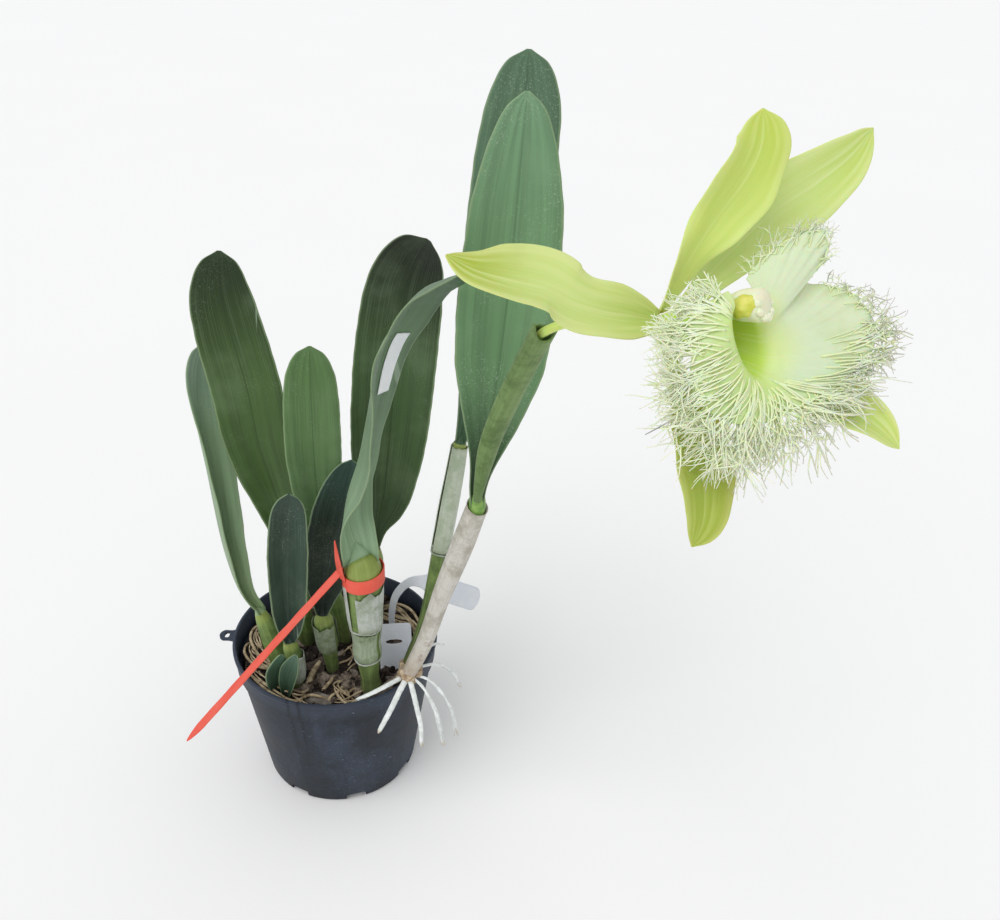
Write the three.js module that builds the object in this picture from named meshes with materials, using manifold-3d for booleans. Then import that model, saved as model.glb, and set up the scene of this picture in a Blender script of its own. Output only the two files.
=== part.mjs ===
// Potted Rhyncholaelia digbyana, an orchid in flower, in millimetres with +Z up.
// The origin is the centre of the pot's underside and -Y faces the viewer.
import * as THREE from 'three';
import { mergeVertices } from 'three/addons/utils/BufferGeometryUtils.js';
import Module from 'manifold-3d';

const wasm = await Module();
wasm.setup();

// Driving dimensions
const POT_HEIGHT = 101;
const POT_RIM_RADIUS = 65;
const POT_BASE_RADIUS = 49.5;
const POT_WALL = 1.6;
const COLLAR_HEIGHT = 15.5;
const COLLAR_STEP = 1.7;
const DRAIN_SLOTS = 8;
const DRAIN_SLOT_WIDTH = 13;
const DRAIN_SLOT_SIZE = 8;
const MEDIUM_LEVEL = 87;
const BARK_CHIPS = 25;
const CHIP_LENGTH = [11, 7];
const CHIP_WIDTH = [7, 4];
const CHIP_HEIGHT = [3, 2.5];
const CHIP_ROUGHNESS = 3;
const CHIP_TILT = 0.6;
const CHIP_SPREAD = 50;
const SEAT_GAP = 0.35;
const LEAF_THICKNESS = 1.8;
const LEAF_EDGE = 0.9;
const LEAF_ROWS = 9;
const LEAF_COLUMNS = 6;
const BLADE_FOLD_ROUNDING = 0.22;
const BLADE_ROW_CROWDING = 1.6;
const BLADE_LEAST_HALF = 0.32;
const BLADE_THINNING = 0.08;
const TEPAL_THICKNESS = 1.3;
const TEPAL_EDGE = 0.7;
const LIP_THICKNESS = 0.9;
const FRINGE_STRANDS = 78;
const FRINGE_FORKED = 0.4;
const FRINGE_ENDS = [0.03, 0.98];
const FRINGE_NOTCH = [0.68, 0.76];
const STRAP_WIDTH = 9;
const STRAP_END_WIDTH = 4.6;
const STRAP_THICKNESS = 0.9;
const TAG_THICKNESS = 0.8;
const TAG_WIDTH = 15;
const BRACT_INNER_STAND = 0.85;
const BRACT_OUTER_STAND = 1.6;
const GOLDEN_TURN = 2.39996;

// The flower's own frame: its hub, the way its column points, and its up and left
const FLOWER_HUB = new THREE.Vector3(159, -150, 389);
const FLOWER_FORWARD = new THREE.Vector3(0.717, -0.468, 0.517).normalize();
const FLOWER_UP = new THREE.Vector3(-0.264, 0.504, 0.822)
  .addScaledVector(FLOWER_FORWARD, -FLOWER_FORWARD.dot(new THREE.Vector3(-0.264, 0.504, 0.822)))
  .normalize();
const FLOWER_LEFT = FLOWER_FORWARD.clone().cross(FLOWER_UP);

// Colours and finishes
const finishes = {
  pot: { color: '#2b3139', roughness: 0.55 },
  bark: { color: '#2e241d', roughness: 0.95 },
  dryRoot: { color: '#a88c66', roughness: 0.85 },
  freshRoot: { color: '#e4e4da', roughness: 0.7 },
  bulb: { color: '#6d8838', roughness: 0.5 },
  cane: { color: '#b3a796', roughness: 0.75 },
  bract: { color: '#b7b8a6', roughness: 0.6 },
  darkLeaf: { color: '#34522f', roughness: 0.42 },
  greyLeaf: { color: '#587556', roughness: 0.5 },
  blueLeaf: { color: '#2d4c42', roughness: 0.5 },
  lightLeaf: { color: '#47713f', roughness: 0.45 },
  spathe: { color: '#5f7f42', roughness: 0.55 },
  tepal: { color: '#bcd35c', roughness: 0.55 },
  lip: { color: '#dcebc4', roughness: 0.6 },
  column: { color: '#e6e8bc', roughness: 0.5 },
  strap: { color: '#e2492f', roughness: 0.45 },
  label: { color: '#e2e6ee', roughness: 0.4 },
};

const group = new THREE.Group();

function vec(point) {
  return new THREE.Vector3(point[0], point[1], point[2]);
}

// Random numbers from a fixed seed, so that the plant grows the same every time
function seeded(seed) {
  let state = seed >>> 0;
  return () => {
    state = (state + 0x6d2b79f5) >>> 0;
    let mixed = Math.imul(state ^ (state >>> 15), 1 | state);
    mixed = (mixed + Math.imul(mixed ^ (mixed >>> 7), 61 | mixed)) ^ mixed;
    return ((mixed ^ (mixed >>> 14)) >>> 0) / 4294967296;
  };
}

// A smooth value between knots [place, value] that never overshoots them
function along(knots, place) {
  const last = knots.length - 1;
  let i = 0;
  while (i < last - 1 && place > knots[i + 1][0]) i += 1;
  const slope = (a) => (knots[a + 1][1] - knots[a][1]) / (knots[a + 1][0] - knots[a][0]);
  const blend = (a, b) => (a * b <= 0 ? 0 : (2 * a * b) / (a + b));
  const here = slope(i);
  const startSlope = i > 0 ? blend(slope(i - 1), here) : here;
  const endSlope = i + 1 < last ? blend(here, slope(i + 1)) : here;
  const span = knots[i + 1][0] - knots[i][0];
  const s = THREE.MathUtils.clamp((place - knots[i][0]) / span, 0, 1);
  const bend = span * (s * (1 - s) * (1 - s) * startSlope - s * s * (1 - s) * endSlope);
  return knots[i][1] + (knots[i + 1][1] - knots[i][1]) * s * s * (3 - 2 * s) + bend;
}

// A direction between several, spread evenly from base to tip
function turned(directions, place) {
  const step = THREE.MathUtils.clamp(place, 0, 0.9999) * (directions.length - 1);
  const i = Math.floor(step);
  const next = Math.min(i + 1, directions.length - 1);
  return vec(directions[i]).normalize().lerp(vec(directions[next]).normalize(), step - i).normalize();
}

// Faces turned out if the shell came out inside out
function oriented(shell) {
  const [a, b, c] = [new THREE.Vector3(), new THREE.Vector3(), new THREE.Vector3()];
  let volume = 0;
  for (let i = 0; i < shell.faces.length; i += 3) {
    a.copy(shell.points[shell.faces[i]]);
    b.copy(shell.points[shell.faces[i + 1]]);
    c.copy(shell.points[shell.faces[i + 2]]);
    volume += a.dot(b.cross(c));
  }
  if (volume < 0) {
    for (let i = 0; i < shell.faces.length; i += 3) {
      const kept = shell.faces[i + 1];
      shell.faces[i + 1] = shell.faces[i + 2];
      shell.faces[i + 2] = kept;
    }
  }
  return shell;
}

// A skin over rings of points: capped at both ends, or joined end to start
function loft(rings, endless = false) {
  const points = rings.flat();
  const count = rings[0].length;
  const faces = [];
  const lastRing = endless ? rings.length : rings.length - 1;
  for (let i = 0; i < lastRing; i += 1) {
    const next = (i + 1) % rings.length;
    for (let k = 0; k < count; k += 1) {
      const k2 = (k + 1) % count;
      const [a, b, c, d] = [i * count + k, i * count + k2, next * count + k2, next * count + k];
      faces.push(a, b, c, a, c, d);
    }
  }
  if (!endless && count === 3) {
    const end = (rings.length - 1) * count;
    faces.push(0, 2, 1, end, end + 1, end + 2);
  } else if (!endless) {
    for (const [ring, flip] of [[0, true], [rings.length - 1, false]]) {
      const middle = new THREE.Vector3();
      rings[ring].forEach((point) => middle.addScaledVector(point, 1 / count));
      const hub = points.push(middle) - 1;
      for (let k = 0; k < count; k += 1) {
        const [a, b] = [ring * count + k, ring * count + ((k + 1) % count)];
        faces.push(hub, flip ? b : a, flip ? a : b);
      }
    }
  }
  return oriented({ points, faces });
}

// A round stem along a path, with its radius given by knots, and extra all round
function stem({ path, radius, sides = 8, steps = 7, extra = 0 }) {
  const curve = new THREE.CatmullRomCurve3(path.map(vec), false, 'centripetal');
  const frames = curve.computeFrenetFrames(steps, false);
  const rings = [];
  for (let i = 0; i <= steps; i += 1) {
    const centre = curve.getPointAt(i / steps);
    const reach = along(radius, i / steps) + extra;
    const end = i === 0 ? -extra : i === steps ? extra : 0;
    rings.push(Array.from({ length: sides }, (_, k) => {
      const angle = (2 * Math.PI * k) / sides;
      return centre.clone()
        .addScaledVector(frames.tangents[i], end)
        .addScaledVector(frames.normals[i], reach * Math.cos(angle))
        .addScaledVector(frames.binormals[i], reach * Math.sin(angle));
    }));
  }
  return loft(rings);
}

// One point on a leaf or petal: place runs from base to tip, across from -1 to 1,
// side is 1 on the upper face and -1 on the lower one
function bladePoint(spec, place, across, side, lift = 0) {
  const { width, outline, fold, edge, thickness, wave } = spec;
  const centre = spec.curve.getPointAt(place);
  const tangent = spec.curve.getTangentAt(place);
  const face = turned(spec.face, place);
  const out = face.addScaledVector(tangent, -face.dot(tangent)).normalize();
  const sideways = tangent.clone().cross(out);
  const half = 0.5 * width * along(outline, place);
  const angle = THREE.MathUtils.degToRad(along(fold, place));
  const rounded = Math.hypot(across, BLADE_FOLD_ROUNDING);
  const slope = across / rounded;
  const ripple = wave
    ? wave.height * Math.sin(Math.PI * place) * across * across
      * Math.sin(2 * Math.PI * wave.count * place + wave.phase + (across > 0 ? wave.shift : 0))
    : 0;
  const fullHalf = 0.5 * THREE.MathUtils.lerp(thickness, edge, Math.abs(across));
  const halfThick = Math.min(fullHalf, BLADE_LEAST_HALF + BLADE_THINNING * half);
  const upright = halfThick * side + (side > 0 ? lift : 0);
  const aside = half * across * Math.cos(angle) - upright * slope * Math.sin(angle);
  const up = half * (rounded - BLADE_FOLD_ROUNDING) * Math.sin(angle) + ripple
    + upright * Math.sqrt(1 - (slope * Math.sin(angle)) ** 2);
  return centre.addScaledVector(sideways, aside).addScaledVector(out, up);
}

// Rows of a blade lie closer together towards its tip
const rowPlace = (share) => 1 - (1 - share) ** BLADE_ROW_CROWDING;

// A whole blade, split into triangles alike on both faces
function blade(spec, rows = LEAF_ROWS, columns = LEAF_COLUMNS) {
  const points = [];
  const faces = [];
  const at = (side, i, j) => side * (rows + 1) * (columns + 1) + i * (columns + 1) + j;
  for (const side of [1, -1]) {
    for (let i = 0; i <= rows; i += 1) {
      for (let j = 0; j <= columns; j += 1) {
        points.push(bladePoint(spec, rowPlace(i / rows), (2 * j) / columns - 1, side));
      }
    }
  }
  const quad = (a, b, c, d) => faces.push(a, b, c, a, c, d);
  for (let i = 0; i < rows; i += 1) {
    for (let j = 0; j < columns; j += 1) {
      const corners = (side) => [
        at(side, i, j), at(side, i + 1, j), at(side, i + 1, j + 1), at(side, i, j + 1),
      ];
      const [a, b, c, d] = corners(0);
      const [p, q, r, s] = corners(1);
      if (j < columns / 2) faces.push(a, b, c, a, c, d, p, r, q, p, s, r);
      else faces.push(b, c, d, b, d, a, q, s, r, q, p, s);
    }
    quad(at(0, i, 0), at(1, i, 0), at(1, i + 1, 0), at(0, i + 1, 0));
    quad(at(0, i + 1, columns), at(1, i + 1, columns), at(1, i, columns), at(0, i, columns));
  }
  for (let j = 0; j < columns; j += 1) {
    quad(at(0, 0, j + 1), at(1, 0, j + 1), at(1, 0, j), at(0, 0, j));
    quad(at(0, rows, j), at(1, rows, j), at(1, rows, j + 1), at(0, rows, j + 1));
  }
  return oriented({ points, faces });
}

function bladeSpec(spec) {
  return {
    thickness: LEAF_THICKNESS,
    edge: LEAF_EDGE,
    ...spec,
    curve: new THREE.CatmullRomCurve3(spec.path.map(vec), false, 'centripetal'),
  };
}

function toSolid(shell) {
  const mesh = new wasm.Mesh({
    numProp: 3,
    vertProperties: new Float32Array(shell.points.flatMap((point) => point.toArray())),
    triVerts: new Uint32Array(shell.faces),
  });
  return new wasm.Manifold(mesh);
}

// A three.js geometry as a solid: seams are merged and slivers on the axis dropped
function geometryToSolid(geometry) {
  geometry.deleteAttribute('normal');
  geometry.deleteAttribute('uv');
  const merged = mergeVertices(geometry, 1e-4);
  const places = merged.getAttribute('position');
  const points = [];
  for (let i = 0; i < places.count; i += 1) {
    points.push(new THREE.Vector3().fromBufferAttribute(places, i));
  }
  const faces = [];
  for (let i = 0; i < merged.index.count; i += 3) {
    const corners = [0, 1, 2].map((k) => merged.index.getX(i + k));
    if (new Set(corners).size === 3) faces.push(...corners);
  }
  return toSolid(oriented({ points, faces }));
}

function joined(solids) {
  return solids.reduce((all, solid) => all.add(solid));
}

// The largest body, where a cut has left loose scraps
function largest(solid) {
  return solid.decompose().reduce((best, piece) => (piece.volume() > best.volume() ? piece : best));
}

function addPiece(name, finish, shape) {
  const geometry = new THREE.BufferGeometry();
  if (shape.points) {
    geometry.setAttribute('position', new THREE.Float32BufferAttribute(
      shape.points.flatMap((point) => point.toArray()), 3));
    geometry.setIndex(shape.faces);
  } else {
    const mesh = shape.getMesh();
    geometry.setAttribute('position', new THREE.BufferAttribute(new Float32Array(mesh.vertProperties), 3));
    geometry.setIndex(new THREE.BufferAttribute(new Uint32Array(mesh.triVerts), 1));
  }
  geometry.computeVertexNormals();
  const material = new THREE.MeshStandardMaterial({ metalness: 0, ...finishes[finish] });
  const mesh = new THREE.Mesh(geometry, material);
  mesh.name = name;
  group.add(mesh);
}

// Pot

const collarRadius = POT_RIM_RADIUS - 1.6;
const bodyTopRadius = collarRadius - COLLAR_STEP;

function lathe(profile, segments) {
  const geometry = new THREE.LatheGeometry(profile.map(([r, z]) => new THREE.Vector2(r, z)), segments);
  geometry.rotateX(Math.PI / 2);
  return geometryToSolid(geometry);
}

function makePot() {
  const stepHeight = POT_HEIGHT - COLLAR_HEIGHT;
  const shell = lathe([
    [0, 0],
    [POT_BASE_RADIUS - 2, 0],
    [POT_BASE_RADIUS, 2.2],
    [bodyTopRadius, stepHeight - 0.8],
    [collarRadius, stepHeight + 0.6],
    [POT_RIM_RADIUS - 0.7, POT_HEIGHT - 3],
    [POT_RIM_RADIUS, POT_HEIGHT - 2.2],
    [POT_RIM_RADIUS, POT_HEIGHT - 0.6],
    [POT_RIM_RADIUS - 0.8, POT_HEIGHT],
    [POT_RIM_RADIUS - POT_WALL - 0.2, POT_HEIGHT],
    [POT_RIM_RADIUS - POT_WALL - 0.8, POT_HEIGHT - 0.8],
    [collarRadius - POT_WALL, stepHeight + 0.6],
    [bodyTopRadius - POT_WALL, stepHeight - 0.8],
    [POT_BASE_RADIUS - POT_WALL, POT_WALL + 1.4],
    [POT_BASE_RADIUS - POT_WALL - 1.4, POT_WALL],
    [0, POT_WALL],
  ], 32);
  const slots = Array.from({ length: DRAIN_SLOTS }, (_, i) => {
    const slot = new THREE.BoxGeometry(DRAIN_SLOT_WIDTH, DRAIN_SLOT_SIZE, DRAIN_SLOT_SIZE);
    slot.rotateX(Math.PI / 4);
    slot.translate(0, POT_BASE_RADIUS + 0.6, 0);
    slot.rotateZ(((i + 0.42) * 2 * Math.PI) / DRAIN_SLOTS);
    return geometryToSolid(slot);
  });
  const lugShape = new THREE.Shape();
  lugShape.moveTo(POT_RIM_RADIUS - 2.6, -6);
  lugShape.lineTo(POT_RIM_RADIUS + 3.5, -4.2);
  lugShape.absarc(POT_RIM_RADIUS + 6, 0, 4.6, -Math.PI / 3, Math.PI / 3, false);
  lugShape.lineTo(POT_RIM_RADIUS + 3.5, 4.2);
  lugShape.lineTo(POT_RIM_RADIUS - 2.6, 6);
  const slotHole = new THREE.Path();
  slotHole.absellipse(POT_RIM_RADIUS + 5.6, 0, 1.7, 2.9, 0, 2 * Math.PI, true);
  lugShape.holes.push(slotHole);
  const lug = new THREE.ExtrudeGeometry(lugShape, { depth: 2, bevelEnabled: false, curveSegments: 5 });
  lug.rotateZ(Math.PI);
  lug.translate(0, 0, POT_HEIGHT - 7);
  return shell.subtract(joined(slots)).add(geometryToSolid(lug));
}

// Growths: each has a bulb or cane standing in the medium and a leaf at its top.
// Paths run from base to tip, radii from base to top.

const broadTip = [
  [0, 0.2], [0.14, 0.48], [0.28, 0.72], [0.42, 0.91], [0.58, 1],
  [0.75, 0.97], [0.86, 0.88], [0.93, 0.7], [0.975, 0.44], [1, 0.12],
];
const longTip = [
  [0, 0.3], [0.1, 0.5], [0.3, 0.88], [0.5, 1], [0.7, 0.97],
  [0.84, 0.8], [0.93, 0.56], [0.975, 0.34], [1, 0.1],
];
const shortTip = [[0, 0.3], [0.4, 0.95], [0.6, 1], [0.85, 0.6], [1, 0.14]];

const growths = [
  {
    name: 'left_outer',
    bulb: {
      path: [[-31, -20, 86], [-36, -18, 106], [-43, -15, 128]],
      radius: [[0, 5], [0.35, 6.4], [0.75, 5.6], [1, 3.6]],
    },
    leaf: {
      path: [
        [-43.3, -14.8, 128.6], [-52.5, -14, 142], [-61, -9, 170], [-69.5, 5, 220],
        [-75, 16, 252], [-75.5, 23, 272], [-73, 30, 287],
      ],
      face: [[0.8, -0.5, 0.3], [0.8, -0.55, 0.2], [0.8, -0.5, 0.2]],
      width: 36,
      outline: longTip,
      fold: [[0, 60], [0.3, 66], [0.7, 56], [1, 12]],
    },
    finish: 'greyLeaf',
  },
  {
    name: 'left_tall',
    bulb: {
      path: [[-20, 4, 86], [-21.5, 2, 116], [-23, 0, 142.5]],
      radius: [[0, 4.6], [0.4, 6.4], [0.85, 5.6], [1, 3.4]],
    },
    leaf: {
      path: [
        [-23, 0, 143], [-26, 2, 181], [-32, 5, 207], [-39, 8, 234],
        [-44, 13, 269], [-52, 19, 303], [-56, 24, 322], [-56, 30, 344],
      ],
      face: [[0.3, -0.9, 0.2], [0.15, -1, 0.2], [0.1, -1, 0.1]],
      width: 40,
      outline: broadTip,
      fold: [[0, 52], [0.2, 30], [0.6, 14], [1, 6]],
    },
    finish: 'darkLeaf',
  },
  {
    name: 'middle',
    bulb: {
      path: [[4, 6, 86], [1, 0, 122], [-3, -6, 160]],
      radius: [[0, 4.4], [0.4, 5.8], [0.85, 5], [1, 3.2]],
    },
    leaf: {
      path: [[-3.1, -6.1, 160.6], [-4, -6, 201], [-5, -4, 234], [-5, -1, 268], [-5, 5, 301]],
      face: [[0.2, -1, 0.1], [0.1, -1, 0.1]],
      width: 32,
      outline: broadTip,
      fold: [[0, 48], [0.25, 24], [1, 6]],
    },
    finish: 'lightLeaf',
  },
  {
    name: 'front_small',
    bulb: {
      path: [[-20, -35, 86], [-19.5, -35, 108], [-21, -37, 126]],
      radius: [[0, 4.2], [0.4, 5.4], [0.85, 4.8], [1, 3.2]],
    },
    leaf: {
      path: [[-21, -37, 126.6], [-20, -38, 159], [-18, -40, 189], [-15, -43, 216], [-11, -46, 238]],
      face: [[0.4, -0.9, 0.1], [0.35, -0.9, 0.1]],
      width: 32,
      outline: [
        [0, 0.3], [0.12, 0.7], [0.3, 0.96], [0.6, 1], [0.8, 0.88], [0.92, 0.62], [0.975, 0.36], [1, 0.1],
      ],
      fold: [[0, 54], [0.3, 50], [0.8, 42], [1, 12]],
    },
    finish: 'blueLeaf',
  },
  {
    name: 'blue',
    bulb: {
      path: [[1, -21, 86], [-1, -21, 110], [-3, -22, 135.6]],
      radius: [[0, 3.8], [0.3, 4.4], [0.6, 6.2], [0.88, 6], [1, 3.6]],
    },
    leaf: {
      path: [[-3, -22, 136.6], [0, -22, 161], [5, -21, 187], [11, -18, 213], [18, -14, 241]],
      face: [[0.1, -1, 0.1], [0.3, -0.95, 0.1]],
      width: 34,
      outline: longTip,
      fold: [[0, 50], [0.3, 32], [1, 12]],
    },
    finish: 'blueLeaf',
  },
  {
    name: 'back_tall',
    bulb: {
      path: [[19, 34, 86], [20.5, 35, 114], [22, 36, 142.5]],
      radius: [[0, 4.6], [0.4, 6.4], [0.85, 5.4], [1, 3.4]],
    },
    leaf: {
      path: [
        [22, 36, 143], [24, 36, 161], [28, 38, 180], [32, 39, 215], [35, 41, 248],
        [37, 43, 271], [40, 46, 298], [44, 49, 322], [50, 52, 337], [56, 55, 346],
      ],
      face: [[0, -1, 0.1], [-0.1, -1, 0.1], [-0.15, -0.95, 0.3]],
      width: 50,
      outline: [
        [0, 0.14], [0.08, 0.3], [0.15, 0.6], [0.24, 0.8], [0.45, 0.98], [0.6, 1],
        [0.76, 0.97], [0.87, 0.88], [0.94, 0.7], [0.98, 0.44], [1, 0.14],
      ],
      fold: [[0, 48], [0.2, 26], [0.6, 12], [1, 6]],
    },
    finish: 'darkLeaf',
  },
  {
    name: 'front_arching',
    bulb: {
      path: [[28, -39, 86], [26.5, -39, 112], [26, -40, 147], [25.5, -40, 190]],
      radius: [
        [0, 4.8], [0.09, 6.4], [0.14, 5.6], [0.3, 7.2], [0.37, 8.2],
        [0.42, 7.6], [0.62, 9.4], [0.85, 10.4], [0.95, 10.6], [1, 8],
      ],
      steps: 14,
    },
    leaf: {
      path: [
        [24.3, -38.6, 191.2], [23.7, -38.7, 196], [21, -39, 207], [18.5, -39, 219], [20, -38, 234],
        [26.5, -37, 256], [31, -37, 277], [35, -37, 297], [38, -38, 312], [43, -40, 327],
        [49, -43, 337.5], [56, -48, 350], [64, -58, 362], [75, -76, 374], [84, -88, 382.5], [95, -94, 394],
      ],
      face: [
        [0.25, -1, 0], [0.75, -0.65, 0], [1, -0.1, 0], [1, -0.05, 0], [1, -0.15, 0], [0.93, -0.36, 0],
        [0.85, -0.5, -0.15], [0.65, -0.65, -0.35], [0.5, -0.75, -0.45],
        [0.4, -0.8, -0.5], [0.35, -0.8, -0.5],
      ],
      width: 40,
      outline: [
        [0, 0.6], [0.12, 0.76], [0.3, 0.96], [0.5, 1], [0.66, 0.84], [0.8, 0.5], [0.92, 0.26], [1, 0.06],
      ],
      fold: [[0, 34], [0.15, 38], [0.35, 26], [0.55, 24], [0.8, 26], [1, 20]],
    },
    finish: 'greyLeaf',
  },
  {
    name: 'rear_tall',
    bulb: {
      path: [[50, -32, 108], [60, -29, 138], [71, -28, 206], [79, -20, 259]],
      radius: [[0, 3.6], [0.3, 4.4], [0.7, 4.6], [1, 3.6]],
      steps: 10,
    },
    leaf: {
      path: [
        [79.1, -19.9, 259.8], [88, -14, 294], [96, -6, 337], [100, 0, 372],
        [103, 6, 405], [106, 11, 433], [107, 16, 455],
      ],
      face: [[0, -1, 0.1], [-0.1, -1, 0.1]],
      width: 42,
      outline: broadTip,
      fold: [[0, 50], [0.25, 24], [1, 8]],
    },
    finish: 'darkLeaf',
  },
  {
    name: 'flowering',
    bulb: {
      path: [[51, -42, 108], [61, -43, 135], [71, -47, 173], [81, -53, 209], [90, -59, 243]],
      radius: [[0, 4.2], [0.1, 4.8], [0.4, 5.2], [0.8, 6.3], [1, 5.8]],
      steps: 10,
    },
    leaf: {
      path: [
        [90, -59, 243.8], [90, -58, 256], [94, -57, 283], [98, -57, 317],
        [101, -59, 354], [103, -62, 388], [104.5, -66, 422], [106, -70, 453],
      ],
      face: [[0.1, -1, 0.15], [0, -1, 0.1], [0.1, -1, 0]],
      width: 47,
      outline: [
        [0, 0.2], [0.1, 0.3], [0.25, 0.66], [0.42, 0.96], [0.55, 1],
        [0.75, 0.89], [0.88, 0.66], [0.95, 0.44], [0.98, 0.28], [1, 0.1],
      ],
      fold: [[0, 50], [0.15, 40], [0.4, 20], [1, 12]],
    },
    finish: 'lightLeaf',
  },
];

// Two short leaves of a young shoot by the rim
const youngLeaves = [
  {
    path: [[-29, -43.5, 87.4], [-29, -45, 106], [-24, -47, 124]],
    face: [[0.5, -0.8, 0.2]],
    width: 15,
    outline: shortTip,
    fold: [[0, 40], [1, 8]],
  },
  {
    path: [[-23.6, -46.8, 87.4], [-20, -47.5, 109], [-14, -50, 127]],
    face: [[-0.3, -0.95, 0.1]],
    width: 12,
    outline: shortTip,
    fold: [[0, 40], [1, 8]],
  },
];

// Rhizome and roots

const rhizomePaths = [
  [
    [-31, -24, 88], [-17, -41, 87.5], [-4, -30, 89], [12, -32, 88],
    [28, -45, 88.5], [40, -38, 97], [46, -39, 104],
  ],
  [[-31, -24, 88], [-27, -8, 87.5], [-20, 10, 88], [-4, 12, 88], [10, 20, 87.5], [22, 41, 88]],
];
const dryRoots = [
  [[-31, -24, 88], [-44, -20, 95], [-54, -6, 98], [-55, 10, 94], [-48, 24, 87]],
  [[-30, -22, 88], [-46, -26, 94], [-54, -20, 97], [-57, -8, 94], [-55, 5, 87]],
  [[-24, -4, 88], [-38, 4, 95], [-49, 12, 95], [-47, 24, 87]],
  [[-12, -42, 88], [-17, -55, 93.5], [-32, -50, 96], [-48, -34, 94], [-55, -20, 87]],
  [[22, 41, 88], [34, 38, 95], [46, 28, 98], [54, 12, 94], [54, -1, 87]],
  [[22, 38, 88], [38, 24, 95], [48, 18, 97], [56, 2, 94], [54, -12, 87]],
  [[12, -32, 88], [8, -47, 94], [16, -55, 93], [25, -52, 87]],
  [[28, -45, 88], [24, -55, 95], [12, -57, 93], [3, -52, 87]],
  [[10, 20, 88], [16, 2, 95], [26, -8, 94], [40, -10, 87]],
  [[-20, 10, 88], [-14, 30, 95], [4, 46, 94], [20, 52, 87]],
];
const crownLumps = [[50, -42, 107.3, 5.8], [48.5, -33, 106.2, 5], [55, -38, 106.6, 4.4]];
const freshRoots = [
  [[50, -44, 106], [47, -51, 104], [42, -60, 96], [35, -68, 84]],
  [[52, -45, 106], [54, -51, 104.5], [57, -57, 96], [60, -62, 84], [60.5, -66, 72]],
  [[54, -44, 106.5], [59, -48, 105], [65, -52, 97], [70, -55, 82], [73, -57, 64]],
  [[55, -42, 107], [62, -44, 106.5], [70, -46, 100], [77, -48, 86], [81, -50, 68]],
  [[54, -36, 106.5], [61, -33, 107], [69, -29, 104.5], [77, -27, 96], [81, -25, 83]],
  [[51, -30, 106], [57, -22, 108], [64, -14, 107], [70, -6, 100]],
  [[46, -44, 106], [40, -50, 106.5], [31, -56, 105], [20, -56.5, 98.5]],
];

const rhizomeRadius = [[0, 3.6], [0.15, 4.6], [0.3, 3.8], [0.5, 5], [0.65, 3.8], [0.85, 4.8], [1, 3]];
const dryRootRadius = [[0, 1.3], [0.7, 1.1], [1, 0.65]];
const freshRootRadius = [[0, 1.25], [0.7, 1.05], [1, 0.63]];

function makeRhizome(extra = 0) {
  const stems = rhizomePaths.map((path) => toSolid(stem({
    path, radius: rhizomeRadius, sides: 7, steps: 11, extra,
  })));
  const roots = dryRoots.map((path) => toSolid(stem({
    path, radius: dryRootRadius, sides: 5, steps: 5, extra,
  })));
  return joined([...stems, ...roots]);
}

function makeCrown(extra = 0) {
  const lumps = crownLumps.map(([x, y, z, size]) => {
    const lump = new THREE.IcosahedronGeometry(size + extra, 1);
    lump.translate(x, y, z);
    return geometryToSolid(lump);
  });
  const roots = freshRoots.map((path) => toSolid(stem({
    path, radius: freshRootRadius, sides: 5, steps: 5, extra,
  })));
  return joined([...lumps, ...roots]);
}

// Potting medium: bark chips, with plain holes where stems, rhizome and roots stand

function makeMedium(cutters) {
  const bottom = POT_WALL + SEAT_GAP;
  const wallLean = (bodyTopRadius - POT_BASE_RADIUS) / (POT_HEIGHT - COLLAR_HEIGHT);
  const topRadius = POT_BASE_RADIUS + wallLean * MEDIUM_LEVEL - POT_WALL - 2 * SEAT_GAP;
  const body = lathe([
    [0, bottom],
    [POT_BASE_RADIUS - POT_WALL - 2.4, bottom],
    [POT_BASE_RADIUS - POT_WALL - 0.6, bottom + 2.2],
    [topRadius, MEDIUM_LEVEL],
    [0, MEDIUM_LEVEL],
  ], 24);
  const random = seeded(11);
  const centred = () => random() - 0.5;
  const chips = Array.from({ length: BARK_CHIPS }, (_, i) => {
    const chip = new THREE.BoxGeometry(
      CHIP_LENGTH[0] + CHIP_LENGTH[1] * random(),
      CHIP_WIDTH[0] + CHIP_WIDTH[1] * random(),
      CHIP_HEIGHT[0] + CHIP_HEIGHT[1] * random(),
    );
    const corners = chip.getAttribute('position');
    const shifts = Array.from({ length: 8 }, () => [centred(), centred(), centred()]);
    for (let k = 0; k < corners.count; k += 1) {
      const [x, y, z] = [corners.getX(k), corners.getY(k), corners.getZ(k)];
      const which = (x > 0 ? 1 : 0) + (y > 0 ? 2 : 0) + (z > 0 ? 4 : 0);
      const [dx, dy, dz] = shifts[which];
      corners.setXYZ(k, x + CHIP_ROUGHNESS * dx, y + CHIP_ROUGHNESS * dy, z + 0.5 * CHIP_ROUGHNESS * dz);
    }
    chip.rotateX(CHIP_TILT * centred());
    chip.rotateY(CHIP_TILT * centred());
    chip.rotateZ(2 * Math.PI * random());
    const spread = CHIP_SPREAD * Math.sqrt((i + 0.5) / BARK_CHIPS);
    const turn = i * GOLDEN_TURN;
    chip.translate(spread * Math.cos(turn), spread * Math.sin(turn), MEDIUM_LEVEL - 0.4 + 1.2 * random());
    return geometryToSolid(chip);
  });
  return largest(joined([body, ...chips]).subtract(joined(cutters)));
}

// Papery bracts round some bulbs, a skin that follows the bulb a little way off

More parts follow.
